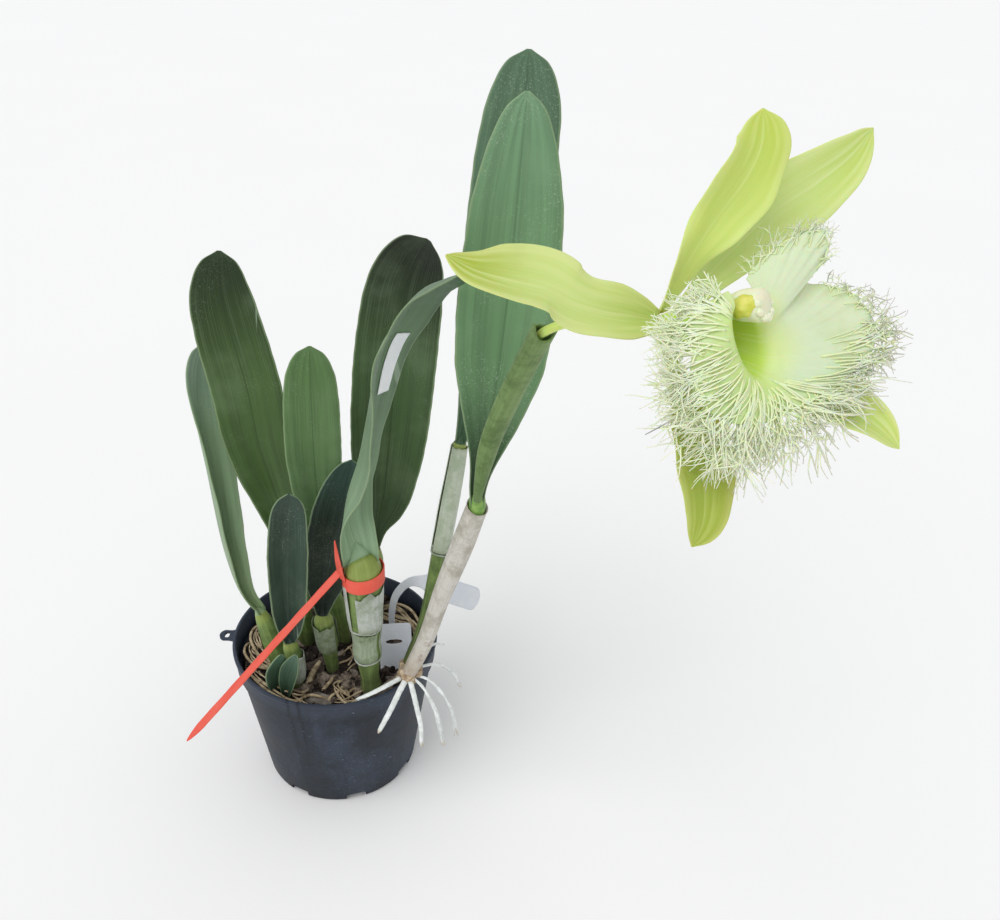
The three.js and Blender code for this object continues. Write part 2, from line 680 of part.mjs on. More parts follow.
function makeBract(bulb, from, to, notch) {
  const sides = 10;
  const steps = 3;
  const curve = new THREE.CatmullRomCurve3(bulb.path.map(vec), false, 'centripetal');
  const frames = curve.computeFrenetFrames(steps * 4, false);
  const ring = (i, stand) => Array.from({ length: sides }, (_, k) => {
    const angle = (2 * Math.PI * k) / sides;
    const ragged = i === steps ? notch * Math.sin(3 * angle) : 0;
    const place = THREE.MathUtils.lerp(from, to, i / steps) + ragged;
    const reach = along(bulb.radius, place) + stand;
    const frame = Math.round(place * steps * 4);
    return curve.getPointAt(place)
      .addScaledVector(frames.normals[frame], reach * Math.cos(angle))
      .addScaledVector(frames.binormals[frame], reach * Math.sin(angle));
  });
  const outer = Array.from({ length: steps + 1 }, (_, i) => ring(i, BRACT_OUTER_STAND));
  const inner = Array.from({ length: steps + 1 }, (_, i) => ring(steps - i, BRACT_INNER_STAND));
  return loft([...outer, ...inner], true);
}

// Flower sheath: a flattened tube, open at the top, with the flower stalk inside it

const sheathPath = [
  [90.2, -63.8, 251], [91.6, -67, 264], [96, -73, 291],
  [105, -84, 324], [112, -94, 347], [116.5, -102, 362],
];
const sheathFace = [0.35, -0.75, 0.55];
const sheathHalfWidth = [[0, 2.1], [0.12, 3.4], [0.3, 5.2], [0.6, 6], [1, 6]];
const sheathHalfDepth = [[0, 2], [0.15, 3], [0.3, 3.4], [1, 4.2]];
const sheathWall = 0.75;
const sheathPoint = 4;

function makeSheath() {
  const sides = 12;
  const steps = 7;
  const curve = new THREE.CatmullRomCurve3(sheathPath.map(vec), false, 'centripetal');
  const ring = (place, wall) => {
    const tangent = curve.getTangentAt(place);
    const out = vec(sheathFace).addScaledVector(tangent, -vec(sheathFace).dot(tangent)).normalize();
    const sideways = tangent.clone().cross(out);
    const wide = along(sheathHalfWidth, place) - wall;
    const deep = along(sheathHalfDepth, place) - wall;
    return Array.from({ length: sides }, (_, k) => {
      const angle = (2 * Math.PI * k) / sides;
      const point = place > 0.99 ? sheathPoint * Math.abs(Math.cos(angle)) ** 3 : 0;
      return curve.getPointAt(place)
        .addScaledVector(tangent, point)
        .addScaledVector(sideways, wide * Math.cos(angle))
        .addScaledVector(out, deep * Math.sin(angle));
    });
  };
  const places = Array.from({ length: steps + 1 }, (_, i) => i / steps);
  const outer = places.map((place) => ring(place, 0));
  const inner = places.map((place) => ring(Math.max(place, 0.06), sheathWall)).reverse();
  return loft([...outer, ...inner]);
}

// Flower

function inFlower([up, left, forward]) {
  return FLOWER_HUB.clone()
    .addScaledVector(FLOWER_UP, up)
    .addScaledVector(FLOWER_LEFT, left)
    .addScaledVector(FLOWER_FORWARD, forward);
}

const flowerPath = (points) => points.map((point) => inFlower(point).toArray());
const flowerWay = ([up, left, forward]) => inFlower([up, left, forward]).sub(FLOWER_HUB).toArray();

const stalkPath = [
  [94.1, -70.4, 280], [96, -73, 291], [105, -84, 324], [112, -94, 347], [116.5, -102, 362],
  ...flowerPath([[9.5, -4, -24], [5, -2, -13.4], [0.4, 0, -3.8]]),
];
const stalkRadius = [[0, 1.9], [0.66, 1.9], [0.8, 2.6], [0.94, 3.4], [1, 3.8]];

const tepalOutline = [
  [0, 0.2], [0.12, 0.34], [0.3, 0.72], [0.5, 0.96], [0.65, 1], [0.82, 0.78], [0.94, 0.4], [1, 0.05],
];
const tepals = [
  {
    name: 'petal_left',
    path: [
      [1.5, 4.3, 0.4], [4.5, 16, -3], [8, 28, -7], [12.5, 37, -11],
      [18.5, 44, -15], [23.5, 55, -21], [29, 65, -27], [36, 72, -32],
    ],
    face: [[0, 0.1, 1], [0.3, 0.35, 0.9], [0.45, 0.3, 0.85], [0.3, 0.5, 0.8]],
    width: 31,
    outline: [
      [0, 0.25], [0.1, 0.55], [0.2, 0.75], [0.33, 0.82], [0.46, 0.92],
      [0.6, 1], [0.75, 0.86], [0.88, 0.5], [1, 0.05],
    ],
    fold: [[0, 30], [0.4, 18], [0.8, 24], [1, 8]],
    wave: { height: 1.2, count: 1.7, phase: 0.4, shift: 1.4 },
  },
  {
    name: 'sepal_dorsal',
    path: [
      [5, -0.6, -1.2], [12, -1.2, 6], [22, -4.2, 15.5], [33, -11, 25],
      [43, -16, 36], [53, -19, 43], [64, -18, 47],
    ],
    face: [[0, 0, 1], [-0.5, 0.45, 0.75], [-0.4, 0.5, 0.75], [-0.5, 0.5, 0.75]],
    width: 26,
    outline: [
      [0, 0.22], [0.15, 0.4], [0.32, 0.6], [0.5, 0.84], [0.68, 1], [0.84, 0.96], [0.94, 0.62], [1, 0.08],
    ],
    fold: [[0, 30], [0.5, 18], [1, 12]],
    wave: { height: 2.6, count: 1.4, phase: 1.2, shift: 2 },
  },
  {
    name: 'petal_right',
    path: [
      [2, -4.7, 0.2], [7.6, -12, 5], [18, -21.5, 15], [32, -38, 32],
      [39, -49, 46], [46, -58, 58], [54, -65, 66],
    ],
    face: [[0, 0, 1], [-0.4, 0.5, 0.75], [-0.4, 0.5, 0.75]],
    width: 29,
    outline: tepalOutline,
    fold: [[0, 30], [0.5, 10], [1, 14]],
    wave: { height: 1.2, count: 1.3, phase: 0, shift: 1 },
  },
  {
    name: 'sepal_right',
    path: [
      [-4.8, -3, -1.4], [-14, -9, 7], [-26, -20, 19], [-37, -30, 36],
      [-45, -35, 45], [-53, -39, 52], [-63, -43, 57],
    ],
    face: [[0, 0, 1], [0.55, 0.35, 0.75], [0.5, 0.4, 0.7]],
    width: 29,
    outline: tepalOutline,
    fold: [[0, 30], [0.6, 16], [1, 22]],
  },
  {
    name: 'sepal_left',
    path: [
      [-4.8, 2.7, -1.4], [-14, 5, 1], [-25, 8, 5], [-45, 14, 10],
      [-61, 19, 12], [-71, 23, 11], [-78, 28, 8],
    ],
    face: [[0, 0, 1], [0.15, 0.2, 1], [0.1, 0.3, 1]],
    width: 27,
    outline: tepalOutline,
    fold: [[0, 30], [0.6, 14], [1, 12]],
  },
];

// The lip's margin from its near upper corner, round the front, to its far upper corner.
// Its throat is an oval that hangs below the column, and lipTurn sets which part of the
// oval each part of the margin runs to.
const lipMargin = [
  [3.6, 9, 32], [1, 15, 26], [-5.1, 21, 21.5], [-17, 26.1, 21.5], [-31, 26, 23.2],
  [-40.2, 18.4, 27.2], [-42.8, 5.9, 32.1], [-40.3, -9.5, 38.8], [-36.4, -24.6, 46.5],
  [-28.5, -40.5, 53.7], [-17.7, -50.2, 55.5], [-5.4, -52, 51.5], [0.6, -45.7, 44.5],
  [4.8, -37.2, 38.6], [10.6, -41.6, 45.8], [20.4, -43, 49], [20.4, -33.6, 41.6],
  [15.5, -23.5, 33.4], [8.6, -14.6, 27.9],
];
const lipCurve = new THREE.CatmullRomCurve3(lipMargin.map(vec), false, 'centripetal');
const lipFoot = { radius: 5.4, forward: 3 };
const lipThroat = { up: -12, left: 1, high: 14, wide: 9.5, forward: 31 };
const lipTurn = [
  [0, 52], [0.06, 66], [0.11, 80], [0.17, 104], [0.22, 126], [0.28, 146], [0.33, 168], [0.39, 190],
  [0.44, 210], [0.5, 228], [0.56, 243], [0.61, 255], [0.67, 264], [0.72, 272], [0.78, 280],
  [0.83, 289], [0.89, 298], [0.94, 306], [1, 314],
];
const lipTubeShare = 0.3;
const lipRollOut = [[0, 1], [0.2, 5], [0.4, 7], [1, 5]];
const lipRollForward = [[0, 5], [0.15, 5], [0.4, 5], [0.6, 8], [1, 4]];
const lipRuffle = { height: 1.2, folds: 8 };

// A point of the lip in the flower's frame: round runs from 0 to 1 along the margin,
// out from 0 at its foot to 1 at the margin
function lipPoint(round, out) {
  const angle = THREE.MathUtils.degToRad(along(lipTurn, round));
  const oval = (extra, forward) => new THREE.Vector3(
    lipThroat.up + (lipThroat.high + extra) * Math.cos(angle),
    lipThroat.left + (lipThroat.wide + extra) * Math.sin(angle),
    forward,
  );
  const foot = new THREE.Vector3(
    lipFoot.radius * Math.cos(angle), lipFoot.radius * Math.sin(angle), lipFoot.forward);
  const throat = oval(0, lipThroat.forward);
  if (out < lipTubeShare) return foot.lerp(throat, out / lipTubeShare);
  const flare = oval(along(lipRollOut, round), lipThroat.forward + along(lipRollForward, round));
  const margin = lipCurve.getPoint(round);
  const s = (out - lipTubeShare) / (1 - lipTubeShare);
  const ruffle = lipRuffle.height * s ** 3 * Math.sin(2 * Math.PI * lipRuffle.folds * round);
  return throat.multiplyScalar((1 - s) ** 2)
    .addScaledVector(flare, 2 * s * (1 - s))
    .addScaledVector(margin, s * s)
    .add(new THREE.Vector3(0, 0, ruffle));
}

function lipNormal(round, out) {
  const step = 0.01;
  const a = lipPoint(Math.min(round + step, 1), out).sub(lipPoint(Math.max(round - step, 0), out));
  const b = lipPoint(round, Math.min(out + step, 1)).sub(lipPoint(round, Math.max(out - step, 0)));
  return a.cross(b).normalize();
}

// A thin closed sheet over two grids of points, split into triangles alike on both faces
function sheet(grid, rows, columns) {
  const points = [];
  const faces = [];
  const at = (side, i, j) => side * (rows + 1) * (columns + 1) + i * (columns + 1) + j;
  for (const side of [0, 1]) {
    for (let i = 0; i <= rows; i += 1) {
      for (let j = 0; j <= columns; j += 1) points.push(grid(side, i, j));
    }
  }
  const quad = (a, b, c, d) => faces.push(a, b, c, a, c, d);
  for (let i = 0; i < rows; i += 1) {
    for (let j = 0; j < columns; j += 1) {
      quad(at(0, i, j), at(0, i + 1, j), at(0, i + 1, j + 1), at(0, i, j + 1));
      const [a, b, c, d] = [at(1, i, j), at(1, i + 1, j), at(1, i + 1, j + 1), at(1, i, j + 1)];
      faces.push(a, c, b, a, d, c);
    }
    quad(at(0, i, 0), at(1, i, 0), at(1, i + 1, 0), at(0, i + 1, 0));
    quad(at(0, i + 1, columns), at(1, i + 1, columns), at(1, i, columns), at(0, i, columns));
  }
  for (let j = 0; j < columns; j += 1) {
    quad(at(0, 0, j + 1), at(1, 0, j + 1), at(1, 0, j), at(0, 0, j));
    quad(at(0, rows, j), at(1, rows, j), at(1, rows, j + 1), at(0, rows, j + 1));
  }
  return oriented({ points, faces });
}

const fringeLength = [
  [0, 8], [0.08, 13], [0.2, 19], [0.3, 26], [0.42, 24], [0.5, 17],
  [0.6, 11], [0.68, 8], [0.76, 6], [0.84, 7], [0.92, 10], [1, 9],
];
const fringeRadius = 0.5;
const forkRadius = 0.42;
const fringeTip = 0.3;

function makeLip() {
  const rows = 7;
  const columns = 24;
  const body = toSolid(sheet((side, i, j) => {
    const [round, out] = [j / columns, i / rows];
    const place = lipPoint(round, out).addScaledVector(lipNormal(round, out), (0.5 - side) * LIP_THICKNESS);
    return inFlower(place.toArray());
  }, rows, columns));
  const random = seeded(29);
  const strands = [];
  const strand = (from, way, bend, length, thick, steps) => {
    const path = Array.from({ length: 4 }, (_, i) => from.clone()
      .addScaledVector(way, (length * i) / 3)
      .addScaledVector(bend, length * 0.35 * (i / 3) ** 2)
      .toArray());
    const radius = [[0, thick], [1, fringeTip]];
    strands.push(toSolid(stem({ path: flowerPath(path), radius, sides: 3, steps })));
    return path;
  };
  for (let i = 0; i < FRINGE_STRANDS; i += 1) {
    const round = (i + 0.3 + 0.4 * random()) / FRINGE_STRANDS;
    const drawn = [random(), random(), random(), random(), random(), random(), random()];
    const atNotch = round > FRINGE_NOTCH[0] && round < FRINGE_NOTCH[1];
    if (round < FRINGE_ENDS[0] || round > FRINGE_ENDS[1] || atNotch) continue;
    const from = lipPoint(round, 0.975);
    const outward = lipPoint(round, 1).sub(lipPoint(round, 0.9)).normalize();
    const beside = lipPoint(round + 0.01, 1).sub(lipPoint(round - 0.01, 1)).normalize();
    const normal = lipNormal(round, 0.95);
    const way = outward.clone()
      .addScaledVector(beside, 0.6 * (drawn[0] - 0.5))
      .addScaledVector(normal, 0.7 * (drawn[1] - 0.5))
      .normalize();
    const bend = new THREE.Vector3(drawn[2] - 0.5, drawn[3] - 0.5, drawn[4] + 0.3);
    const length = along(fringeLength, round) * (0.75 + 0.4 * drawn[5]);
    const path = strand(from, way, bend, length, fringeRadius, 2);
    if (drawn[6] < FRINGE_FORKED) {
      const side = i % 2 ? 1 : -1;
      const turn = way.clone().addScaledVector(beside, 0.8 * side).normalize();
      strand(vec(path[1]), turn, bend, 0.5 * length, forkRadius, 1);
    }
  }
  return largest(joined([body, ...strands]));
}

// The column with its cap
const columnPath = [[0, 0, -1.8], [0, 0, 6], [0, 0, 16], [-0.6, 0, 26], [-2, 0, 34], [-4, 0, 41]];
const columnRadius = [[0, 4.2], [0.12, 4.4], [0.3, 3.6], [0.65, 4], [0.8, 5.6], [0.93, 6], [1, 3.2]];

// Tie strap: a band round the thickest bulb with a long free end and a short one

const strapBand = { x: 26, y: -40, z: 181, tilt: 0.12, tiltTurn: 0.9, inner: 11.3 };
const strapTail = {
  path: [[14.3, -44.5, 187], [0, -54, 172.6], [-26, -70.5, 146], [-68, -97, 103]],
  face: [[-0.5, -0.8, 0.4], [-0.3, -0.8, 0.5]],
  outline: [[0, 1], [0.9, 1], [1, 0.3]],
};
const strapEnd = {
  path: [[15.1, -46.8, 182], [14, -48.4, 193], [12.8, -49.5, 211]],
  face: [[-0.7, -0.7, 0.1]],
  outline: [[0, 1.3], [0.4, 1.1], [1, 0.12]],
};

function makeStrap() {
  const sides = 16;
  const ring = (radius, height) => Array.from({ length: sides }, (_, k) => {
    const angle = (2 * Math.PI * k) / sides;
    const rise = strapBand.tilt * radius * Math.sin(angle + strapBand.tiltTurn);
    return new THREE.Vector3(
      strapBand.x + radius * Math.cos(angle),
      strapBand.y + radius * Math.sin(angle),
      strapBand.z + rise + height,
    );
  });
  const [low, high] = [-STRAP_WIDTH / 2, STRAP_WIDTH / 2];
  const { inner } = strapBand;
  const outer = inner + STRAP_THICKNESS;
  const rings = [ring(outer, low), ring(outer, high), ring(inner, high), ring(inner, low)];
  const band = toSolid(loft(rings, true));
  const loose = (spec, rows) => toSolid(blade(bladeSpec({
    ...spec,
    width: STRAP_END_WIDTH,
    thickness: STRAP_THICKNESS,
    edge: STRAP_THICKNESS,
    fold: [[0, 0], [1, 0]],
  }), rows, 2));
  return joined([band, loose(strapTail, 10), loose(strapEnd, 4)]);
}

// Plant labels, bare: one looped strip with a flat end, one upright card with a slot

function makeLoopLabel(extra = 0) {
  const size = TAG_THICKNESS + 2 * extra;
  return blade(bladeSpec({
    path: [
      [34, 20, 84 - extra], [34, 17, 104], [38, 13, 124], [48, 9, 138],
      [60, 7, 139], [74, 8, 132], [91, 9, 125],
    ],
    face: [[-0.6, -0.8, 0.1], [-0.6, -0.8, 0.1], [-0.3, -0.8, 0.5], [0.1, -0.75, 0.6], [0.2, -0.75, 0.6]],
    width: TAG_WIDTH + 2 * extra,
    thickness: size,
    edge: size,
    outline: [[0, 0.34], [0.5, 0.34], [0.62, 0.5], [0.7, 1], [0.95, 1], [1, 0.9]],
    fold: [[0, 0], [1, 0]],
  }), 14, 2);
}

const card = { half: 10, low: -18, high: 17, corner: 3, lean: 1.25, turn: 0.15, x: 40, y: -14, z: 102 };

function makeCardLabel(extra = 0) {
  const outline = new THREE.Shape();
  outline.moveTo(-card.half, card.low);
  outline.lineTo(card.half, card.low);
  outline.lineTo(card.half, card.high - card.corner);
  outline.quadraticCurveTo(card.half, card.high, card.half - card.corner, card.high);
  outline.lineTo(card.corner - card.half, card.high);
  outline.quadraticCurveTo(-card.half, card.high, -card.half, card.high - card.corner);
  const slot = new THREE.Path();
  slot.absellipse(-1, 5, 5.6, 1.7, 0, 2 * Math.PI, true);
  if (!extra) outline.holes.push(slot);
  const depth = TAG_THICKNESS + 2 * extra;
  const plate = new THREE.ExtrudeGeometry(outline, { depth, bevelEnabled: false, curveSegments: 5 });
  plate.translate(0, 0, -depth / 2);
  plate.scale(1 + extra / card.half, 1 - extra / card.low, 1);
  plate.rotateX(card.lean);
  plate.rotateZ(card.turn);
  plate.translate(card.x, card.y, card.z);
  return geometryToSolid(plate);
}

// A blank sticker on the arching leaf, a little way off the facets of its upper face
const sticker = { fromRow: 2.72, toRow: 3.86, fromColumn: 3.5, toColumn: 4.9, low: 0.5, high: 1.15 };

function facetPoint(spec, row, column, lift) {
  const [i, j] = [Math.floor(row), Math.floor(column)];
  const [s, t] = [row - i, column - j];
  const corner = (di, dj) => bladePoint(
    spec, rowPlace((i + di) / LEAF_ROWS), (2 * (j + dj)) / LEAF_COLUMNS - 1, 1, lift);
  const [near, far] = s + t <= 1 ? [corner(0, 0), [s, t]] : [corner(1, 1), [1 - s, 1 - t]];
  const [alongRow, alongColumn] = s + t <= 1 ? [corner(1, 0), corner(0, 1)] : [corner(0, 1), corner(1, 0)];
  return near.clone()
    .addScaledVector(alongRow.sub(near), far[0])
    .addScaledVector(alongColumn.sub(near), far[1]);
}

function makeSticker(spec) {
  const rows = 6;
  const columns = 4;
  return sheet((side, i, j) => {
    const row = THREE.MathUtils.lerp(sticker.fromRow, sticker.toRow, i / rows);
    const column = THREE.MathUtils.lerp(sticker.fromColumn, sticker.toColumn, j / columns);
    return facetPoint(spec, row, column, side ? sticker.low : sticker.high);
  }, rows, columns);
}

// Assembly

const bulbCutters = growths.map(({ bulb }) => toSolid(stem({ ...bulb, extra: SEAT_GAP })));
const leafCutters = youngLeaves.map(({ path, width }) => toSolid(stem({
  path, radius: [[0, 0.16 * width], [0.3, 0.32 * width], [1, 0.32 * width]], steps: 3, extra: SEAT_GAP,
})));
const bulbByName = Object.fromEntries(growths.map(({ name, bulb }) => [name, bulb]));
const labelCutters = [toSolid(makeLoopLabel(SEAT_GAP)), makeCardLabel(SEAT_GAP)];

addPiece('pot', 'pot', makePot());
const crown = makeCrown().subtract(joined(bulbCutters));
const crownCutter = makeCrown(SEAT_GAP);
addPiece('rhizome_roots', 'dryRoot',
  largest(makeRhizome().subtract(joined([...bulbCutters, ...leafCutters, ...labelCutters, crownCutter]))));
addPiece('crown_roots', 'freshRoot', largest(crown));
addPiece('potting_medium', 'bark',
  makeMedium([...bulbCutters, ...leafCutters, ...labelCutters, crownCutter, makeRhizome(SEAT_GAP)]));

for (const { name, bulb, leaf, finish } of growths) {
  const stemFinish = name === 'flowering' ? 'cane' : 'bulb';
  addPiece(name === 'flowering' ? 'cane_flowering' : `bulb_${name}`, stemFinish, stem(bulb));
  addPiece(`leaf_${name}`, finish, blade(bladeSpec(leaf)));
}
youngLeaves.forEach((leaf, i) => addPiece(`leaf_young_${i + 1}`, 'blueLeaf', blade(bladeSpec(leaf), 5, 4)));
addPiece('bract_front_arching', 'bract', makeBract(bulbByName.front_arching, 0.42, 0.8, 0.02));
addPiece('bract_blue', 'bract', makeBract(bulbByName.blue, 0.45, 0.85, 0.03));
addPiece('bract_front_small', 'bract', makeBract(bulbByName.front_small, 0.2, 0.6, 0.05));

addPiece('flower_sheath', 'spathe', makeSheath());
addPiece('flower_stalk', 'tepal', stem({ path: stalkPath, radius: stalkRadius, steps: 14 }));
for (const { name, path, face, width, outline, fold, wave } of tepals) {
  addPiece(name, 'tepal', blade(bladeSpec({
    path: flowerPath(path), face: face.map(flowerWay), width, outline, fold, wave,
    thickness: TEPAL_THICKNESS, edge: TEPAL_EDGE,
  }), wave ? 11 : 9, 6));
}
addPiece('lip', 'lip', makeLip());
addPiece('column', 'column', stem({ path: flowerPath(columnPath), radius: columnRadius, steps: 9 }));
addPiece('tie_strap', 'strap', makeStrap());
addPiece('label_loop', 'label', makeLoopLabel());
addPiece('label_card', 'label', makeCardLabel());
const archingLeaf = growths.find(({ name }) => name === 'front_arching').leaf;
addPiece('label_sticker', 'label', makeSticker(bladeSpec(archingLeaf)));

export default group;
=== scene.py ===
import math
import random

import bmesh
import bpy
import numpy as np
from mathutils import Euler, Matrix, Vector, noise


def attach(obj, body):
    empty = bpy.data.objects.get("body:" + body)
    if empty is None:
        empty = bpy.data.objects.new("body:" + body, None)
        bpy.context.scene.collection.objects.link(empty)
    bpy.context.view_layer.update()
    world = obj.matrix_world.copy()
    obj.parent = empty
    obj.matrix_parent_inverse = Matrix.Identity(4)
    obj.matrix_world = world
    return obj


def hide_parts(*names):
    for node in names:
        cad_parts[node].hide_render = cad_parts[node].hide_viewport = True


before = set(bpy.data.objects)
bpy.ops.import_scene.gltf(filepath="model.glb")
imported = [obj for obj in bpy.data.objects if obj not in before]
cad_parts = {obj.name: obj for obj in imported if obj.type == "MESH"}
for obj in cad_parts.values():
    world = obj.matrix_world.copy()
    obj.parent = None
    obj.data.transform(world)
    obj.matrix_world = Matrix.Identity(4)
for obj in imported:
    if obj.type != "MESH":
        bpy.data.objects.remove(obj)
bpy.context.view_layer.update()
millimetre = 0.001


# sRGB hex to the linear colour that the shaders take
def hexColour(code, alpha=1.0):
    channels = [int(code[i:i + 2], 16) / 255 for i in (1, 3, 5)]
    linear = [c / 12.92 if c <= 0.04045 else ((c + 0.055) / 1.055) ** 2.4 for c in channels]
    return (*linear, alpha)


# one node of any kind: settings are its options, values its inputs or the links into them
def addNode(tree, kind, values=None, **settings):
    node = tree.nodes.new("ShaderNode" + kind)
    for key, value in settings.items():
        setattr(node, key, value)
    for key, value in (values or {}).items():
        socket = node.inputs[key]
        if isinstance(value, bpy.types.NodeSocket):
            tree.links.new(value, socket)
        else:
            socket.default_value = value
    return node


def newMaterial(name, ior, rough, **more):
    material = bpy.data.materials.new(name)
    material.use_nodes = True
    tree = material.node_tree
    shader = tree.nodes["Principled BSDF"]
    shader.inputs["IOR"].default_value = ior
    shader.inputs["Roughness"].default_value = rough
    for key, value in more.items():
        shader.inputs[key.replace("_", " ")].default_value = value
    return tree, shader, material


def mixed(tree, factor, a, b):
    return addNode(tree, "Mix", {0: factor, 6: a, 7: b}, data_type="RGBA").outputs[2]


def ranged(tree, value, low, high, toLow=0.0, toHigh=1.0):
    values = {0: value, 1: low, 2: high, 3: toLow, 4: toHigh}
    return addNode(tree, "MapRange", values, interpolation_type="SMOOTHSTEP").outputs[0]


def maths(tree, operation, a, b=0.0):
    return addNode(tree, "Math", {0: a, 1: b}, operation=operation).outputs[0]


# noise at a scale per metre, or per unit of the UV map, stretched by three factors
def grain(tree, place, scale, stretch=(1, 1, 1), detail=4.0, roughness=0.55, turn=0.0):
    mapping = addNode(tree, "Mapping", {"Vector": place, "Scale": stretch,
                                        "Rotation": (0, 0, turn)})
    values = {"Vector": mapping.outputs[0], "Scale": scale, "Detail": detail,
              "Roughness": roughness}
    return addNode(tree, "TexNoise", values).outputs["Fac"]


def bumpInto(tree, shader, height, strength, distance, under=None):
    values = {"Height": height, "Strength": strength, "Distance": distance}
    if under is not None:
        values["Normal"] = under
    raised = addNode(tree, "Bump", values).outputs[0]
    tree.links.new(raised, shader.inputs["Normal"])
    return raised


# the places a pattern can hang on: the object's own space, and u and v of its map
def places(tree):
    uv = addNode(tree, "UVMap", uv_map="UVMap").outputs[0]
    parts = addNode(tree, "SeparateXYZ", {0: uv})
    return addNode(tree, "TexCoord").outputs["Object"], uv, parts.outputs[0], parts.outputs[1]


# evenly spread angles of one turn; all curves and skins from here on are in millimetres
def turnAngles(count):
    return np.arange(count) * 2 * math.pi / count


def unit(vectors):
    vectors = np.asarray(vectors, float)
    return vectors / np.maximum(np.linalg.norm(vectors, axis=-1, keepdims=True), 1e-9)


# a smooth value between knots (place, value) that never overshoots them
def eased(knots, spots):
    x, y = np.array(knots, float).T
    spots = np.asarray(spots, float)
    slope = np.diff(y) / np.diff(x)
    product = slope[:-1] * slope[1:]
    total = slope[:-1] + slope[1:]
    inner = np.where(product <= 0, 0, 2 * product / np.where(total == 0, 1, total))
    grade = np.concatenate([slope[:1], inner, slope[-1:]])
    i = np.clip(np.searchsorted(x, spots, side="right") - 1, 0, len(x) - 2)
    span = x[i + 1] - x[i]
    s = np.clip((spots - x[i]) / span, 0, 1)
    bend = span * (s * (1 - s) ** 2 * grade[i] - s * s * (1 - s) * grade[i + 1])
    return y[i] + (y[i + 1] - y[i]) * s * s * (3 - 2 * s) + bend


# centripetal Catmull-Rom between the control points, at stretch i and share s of it
def splinePoint(knots, i, s):
    knots = np.asarray(knots, float)
    ring = np.vstack([2 * knots[0] - knots[1], knots, 2 * knots[-1] - knots[-2]])
    gaps = np.maximum(np.sum(np.diff(ring, axis=0) ** 2, axis=1), 1e-9) ** 0.25
    a, b, c, d = ring[i], ring[i + 1], ring[i + 2], ring[i + 3]
    da, db, dc = gaps[i][..., None], gaps[i + 1][..., None], gaps[i + 2][..., None]
    start = ((b - a) / da - (c - a) / (da + db) + (c - b) / db) * db
    end = ((c - b) / db - (d - b) / (db + dc) + (d - c) / dc) * db
    s = np.asarray(s, float)[..., None]
    square = 3 * (c - b) - 2 * start - end
    cube = 2 * (b - c) + start + end
    return b + s * start + s * s * square + s ** 3 * cube


# points and directions at shares of a curve's length
def alongPath(knots, shares, fine=40):
    count = len(knots) - 1
    place = np.linspace(0, count, fine * count + 1)
    i = np.minimum(place.astype(int), count - 1)
    dense = splinePoint(knots, i, place - i)
    run = np.concatenate([[0], np.cumsum(np.linalg.norm(np.diff(dense, axis=0), axis=1))])

    def at(where):
        reach = np.clip(where, 0, 1) * run[-1]
        return np.stack([np.interp(reach, run, dense[:, k]) for k in range(3)], axis=-1)

    shares = np.asarray(shares, float)
    return at(shares), unit(at(shares + 0.012) - at(shares - 0.012))


# two directions across each tangent, carried along the path without twist
def ringFrames(tangents):
    first = np.cross(tangents[0], [0, 0, 1] if abs(tangents[0][2]) < 0.9 else [1, 0, 0])
    normals = [unit(first)]
    for tangent in tangents[1:]:
        normals.append(unit(normals[-1] - tangent * np.dot(normals[-1], tangent)))
    normals = np.array(normals)
    return normals, np.cross(tangents, normals)


# the quads between rings of points, with the ring and the two places on it of each
def ringQuads(rings, count):
    i, k = np.meshgrid(np.arange(rings - 1), np.arange(count), indexing="ij")
    i, k = i.ravel(), k.ravel()
    k2 = (k + 1) % count
    near, far = i * count, (i + 1) * count
    return i, k, k2, np.stack([near + k, near + k2, far + k2, far + k], 1).tolist()


# skin over rings of points (steps, sides, 3), with its map; capped closes both ends
def tubeShell(rings, capped=True):
    steps, sides = rings.shape[:2]
    i, k, _, faces = ringQuads(steps, sides)
    u = np.stack([k, k + 1, k + 1, k], 1) / sides
    v = np.stack([i, i, i + 1, i + 1], 1) / (steps - 1)
    corners = np.stack([u, v], -1).reshape(-1, 2)
    if capped:
        last = (steps - 1) * sides
        faces += [list(range(sides))[::-1], list(range(last, last + sides))]
        corners = np.vstack([corners, np.repeat([[0.5, 0.0], [0.5, 1.0]], sides, axis=0)])
    return rings.reshape(-1, 3), faces, corners


# rings along a path, with radius as knots (share, radius) and swell as an extra reach
def stemRings(path, radius, sides, steps, swell=None):
    shares = np.linspace(0, 1, steps)
    centres, tangents = alongPath(path, shares)
    normals, binormals = ringFrames(tangents)
    angles = turnAngles(sides)
    reach = np.repeat(eased(radius, shares)[:, None], sides, axis=1)
    if swell is not None:
        reach = reach + swell(shares[:, None], angles[None, :])
    return (centres[:, None] + normals[:, None] * (reach * np.cos(angles))[..., None]
            + binormals[:, None] * (reach * np.sin(angles))[..., None])


def stem(*shape):
    return tubeShell(stemRings(*shape))


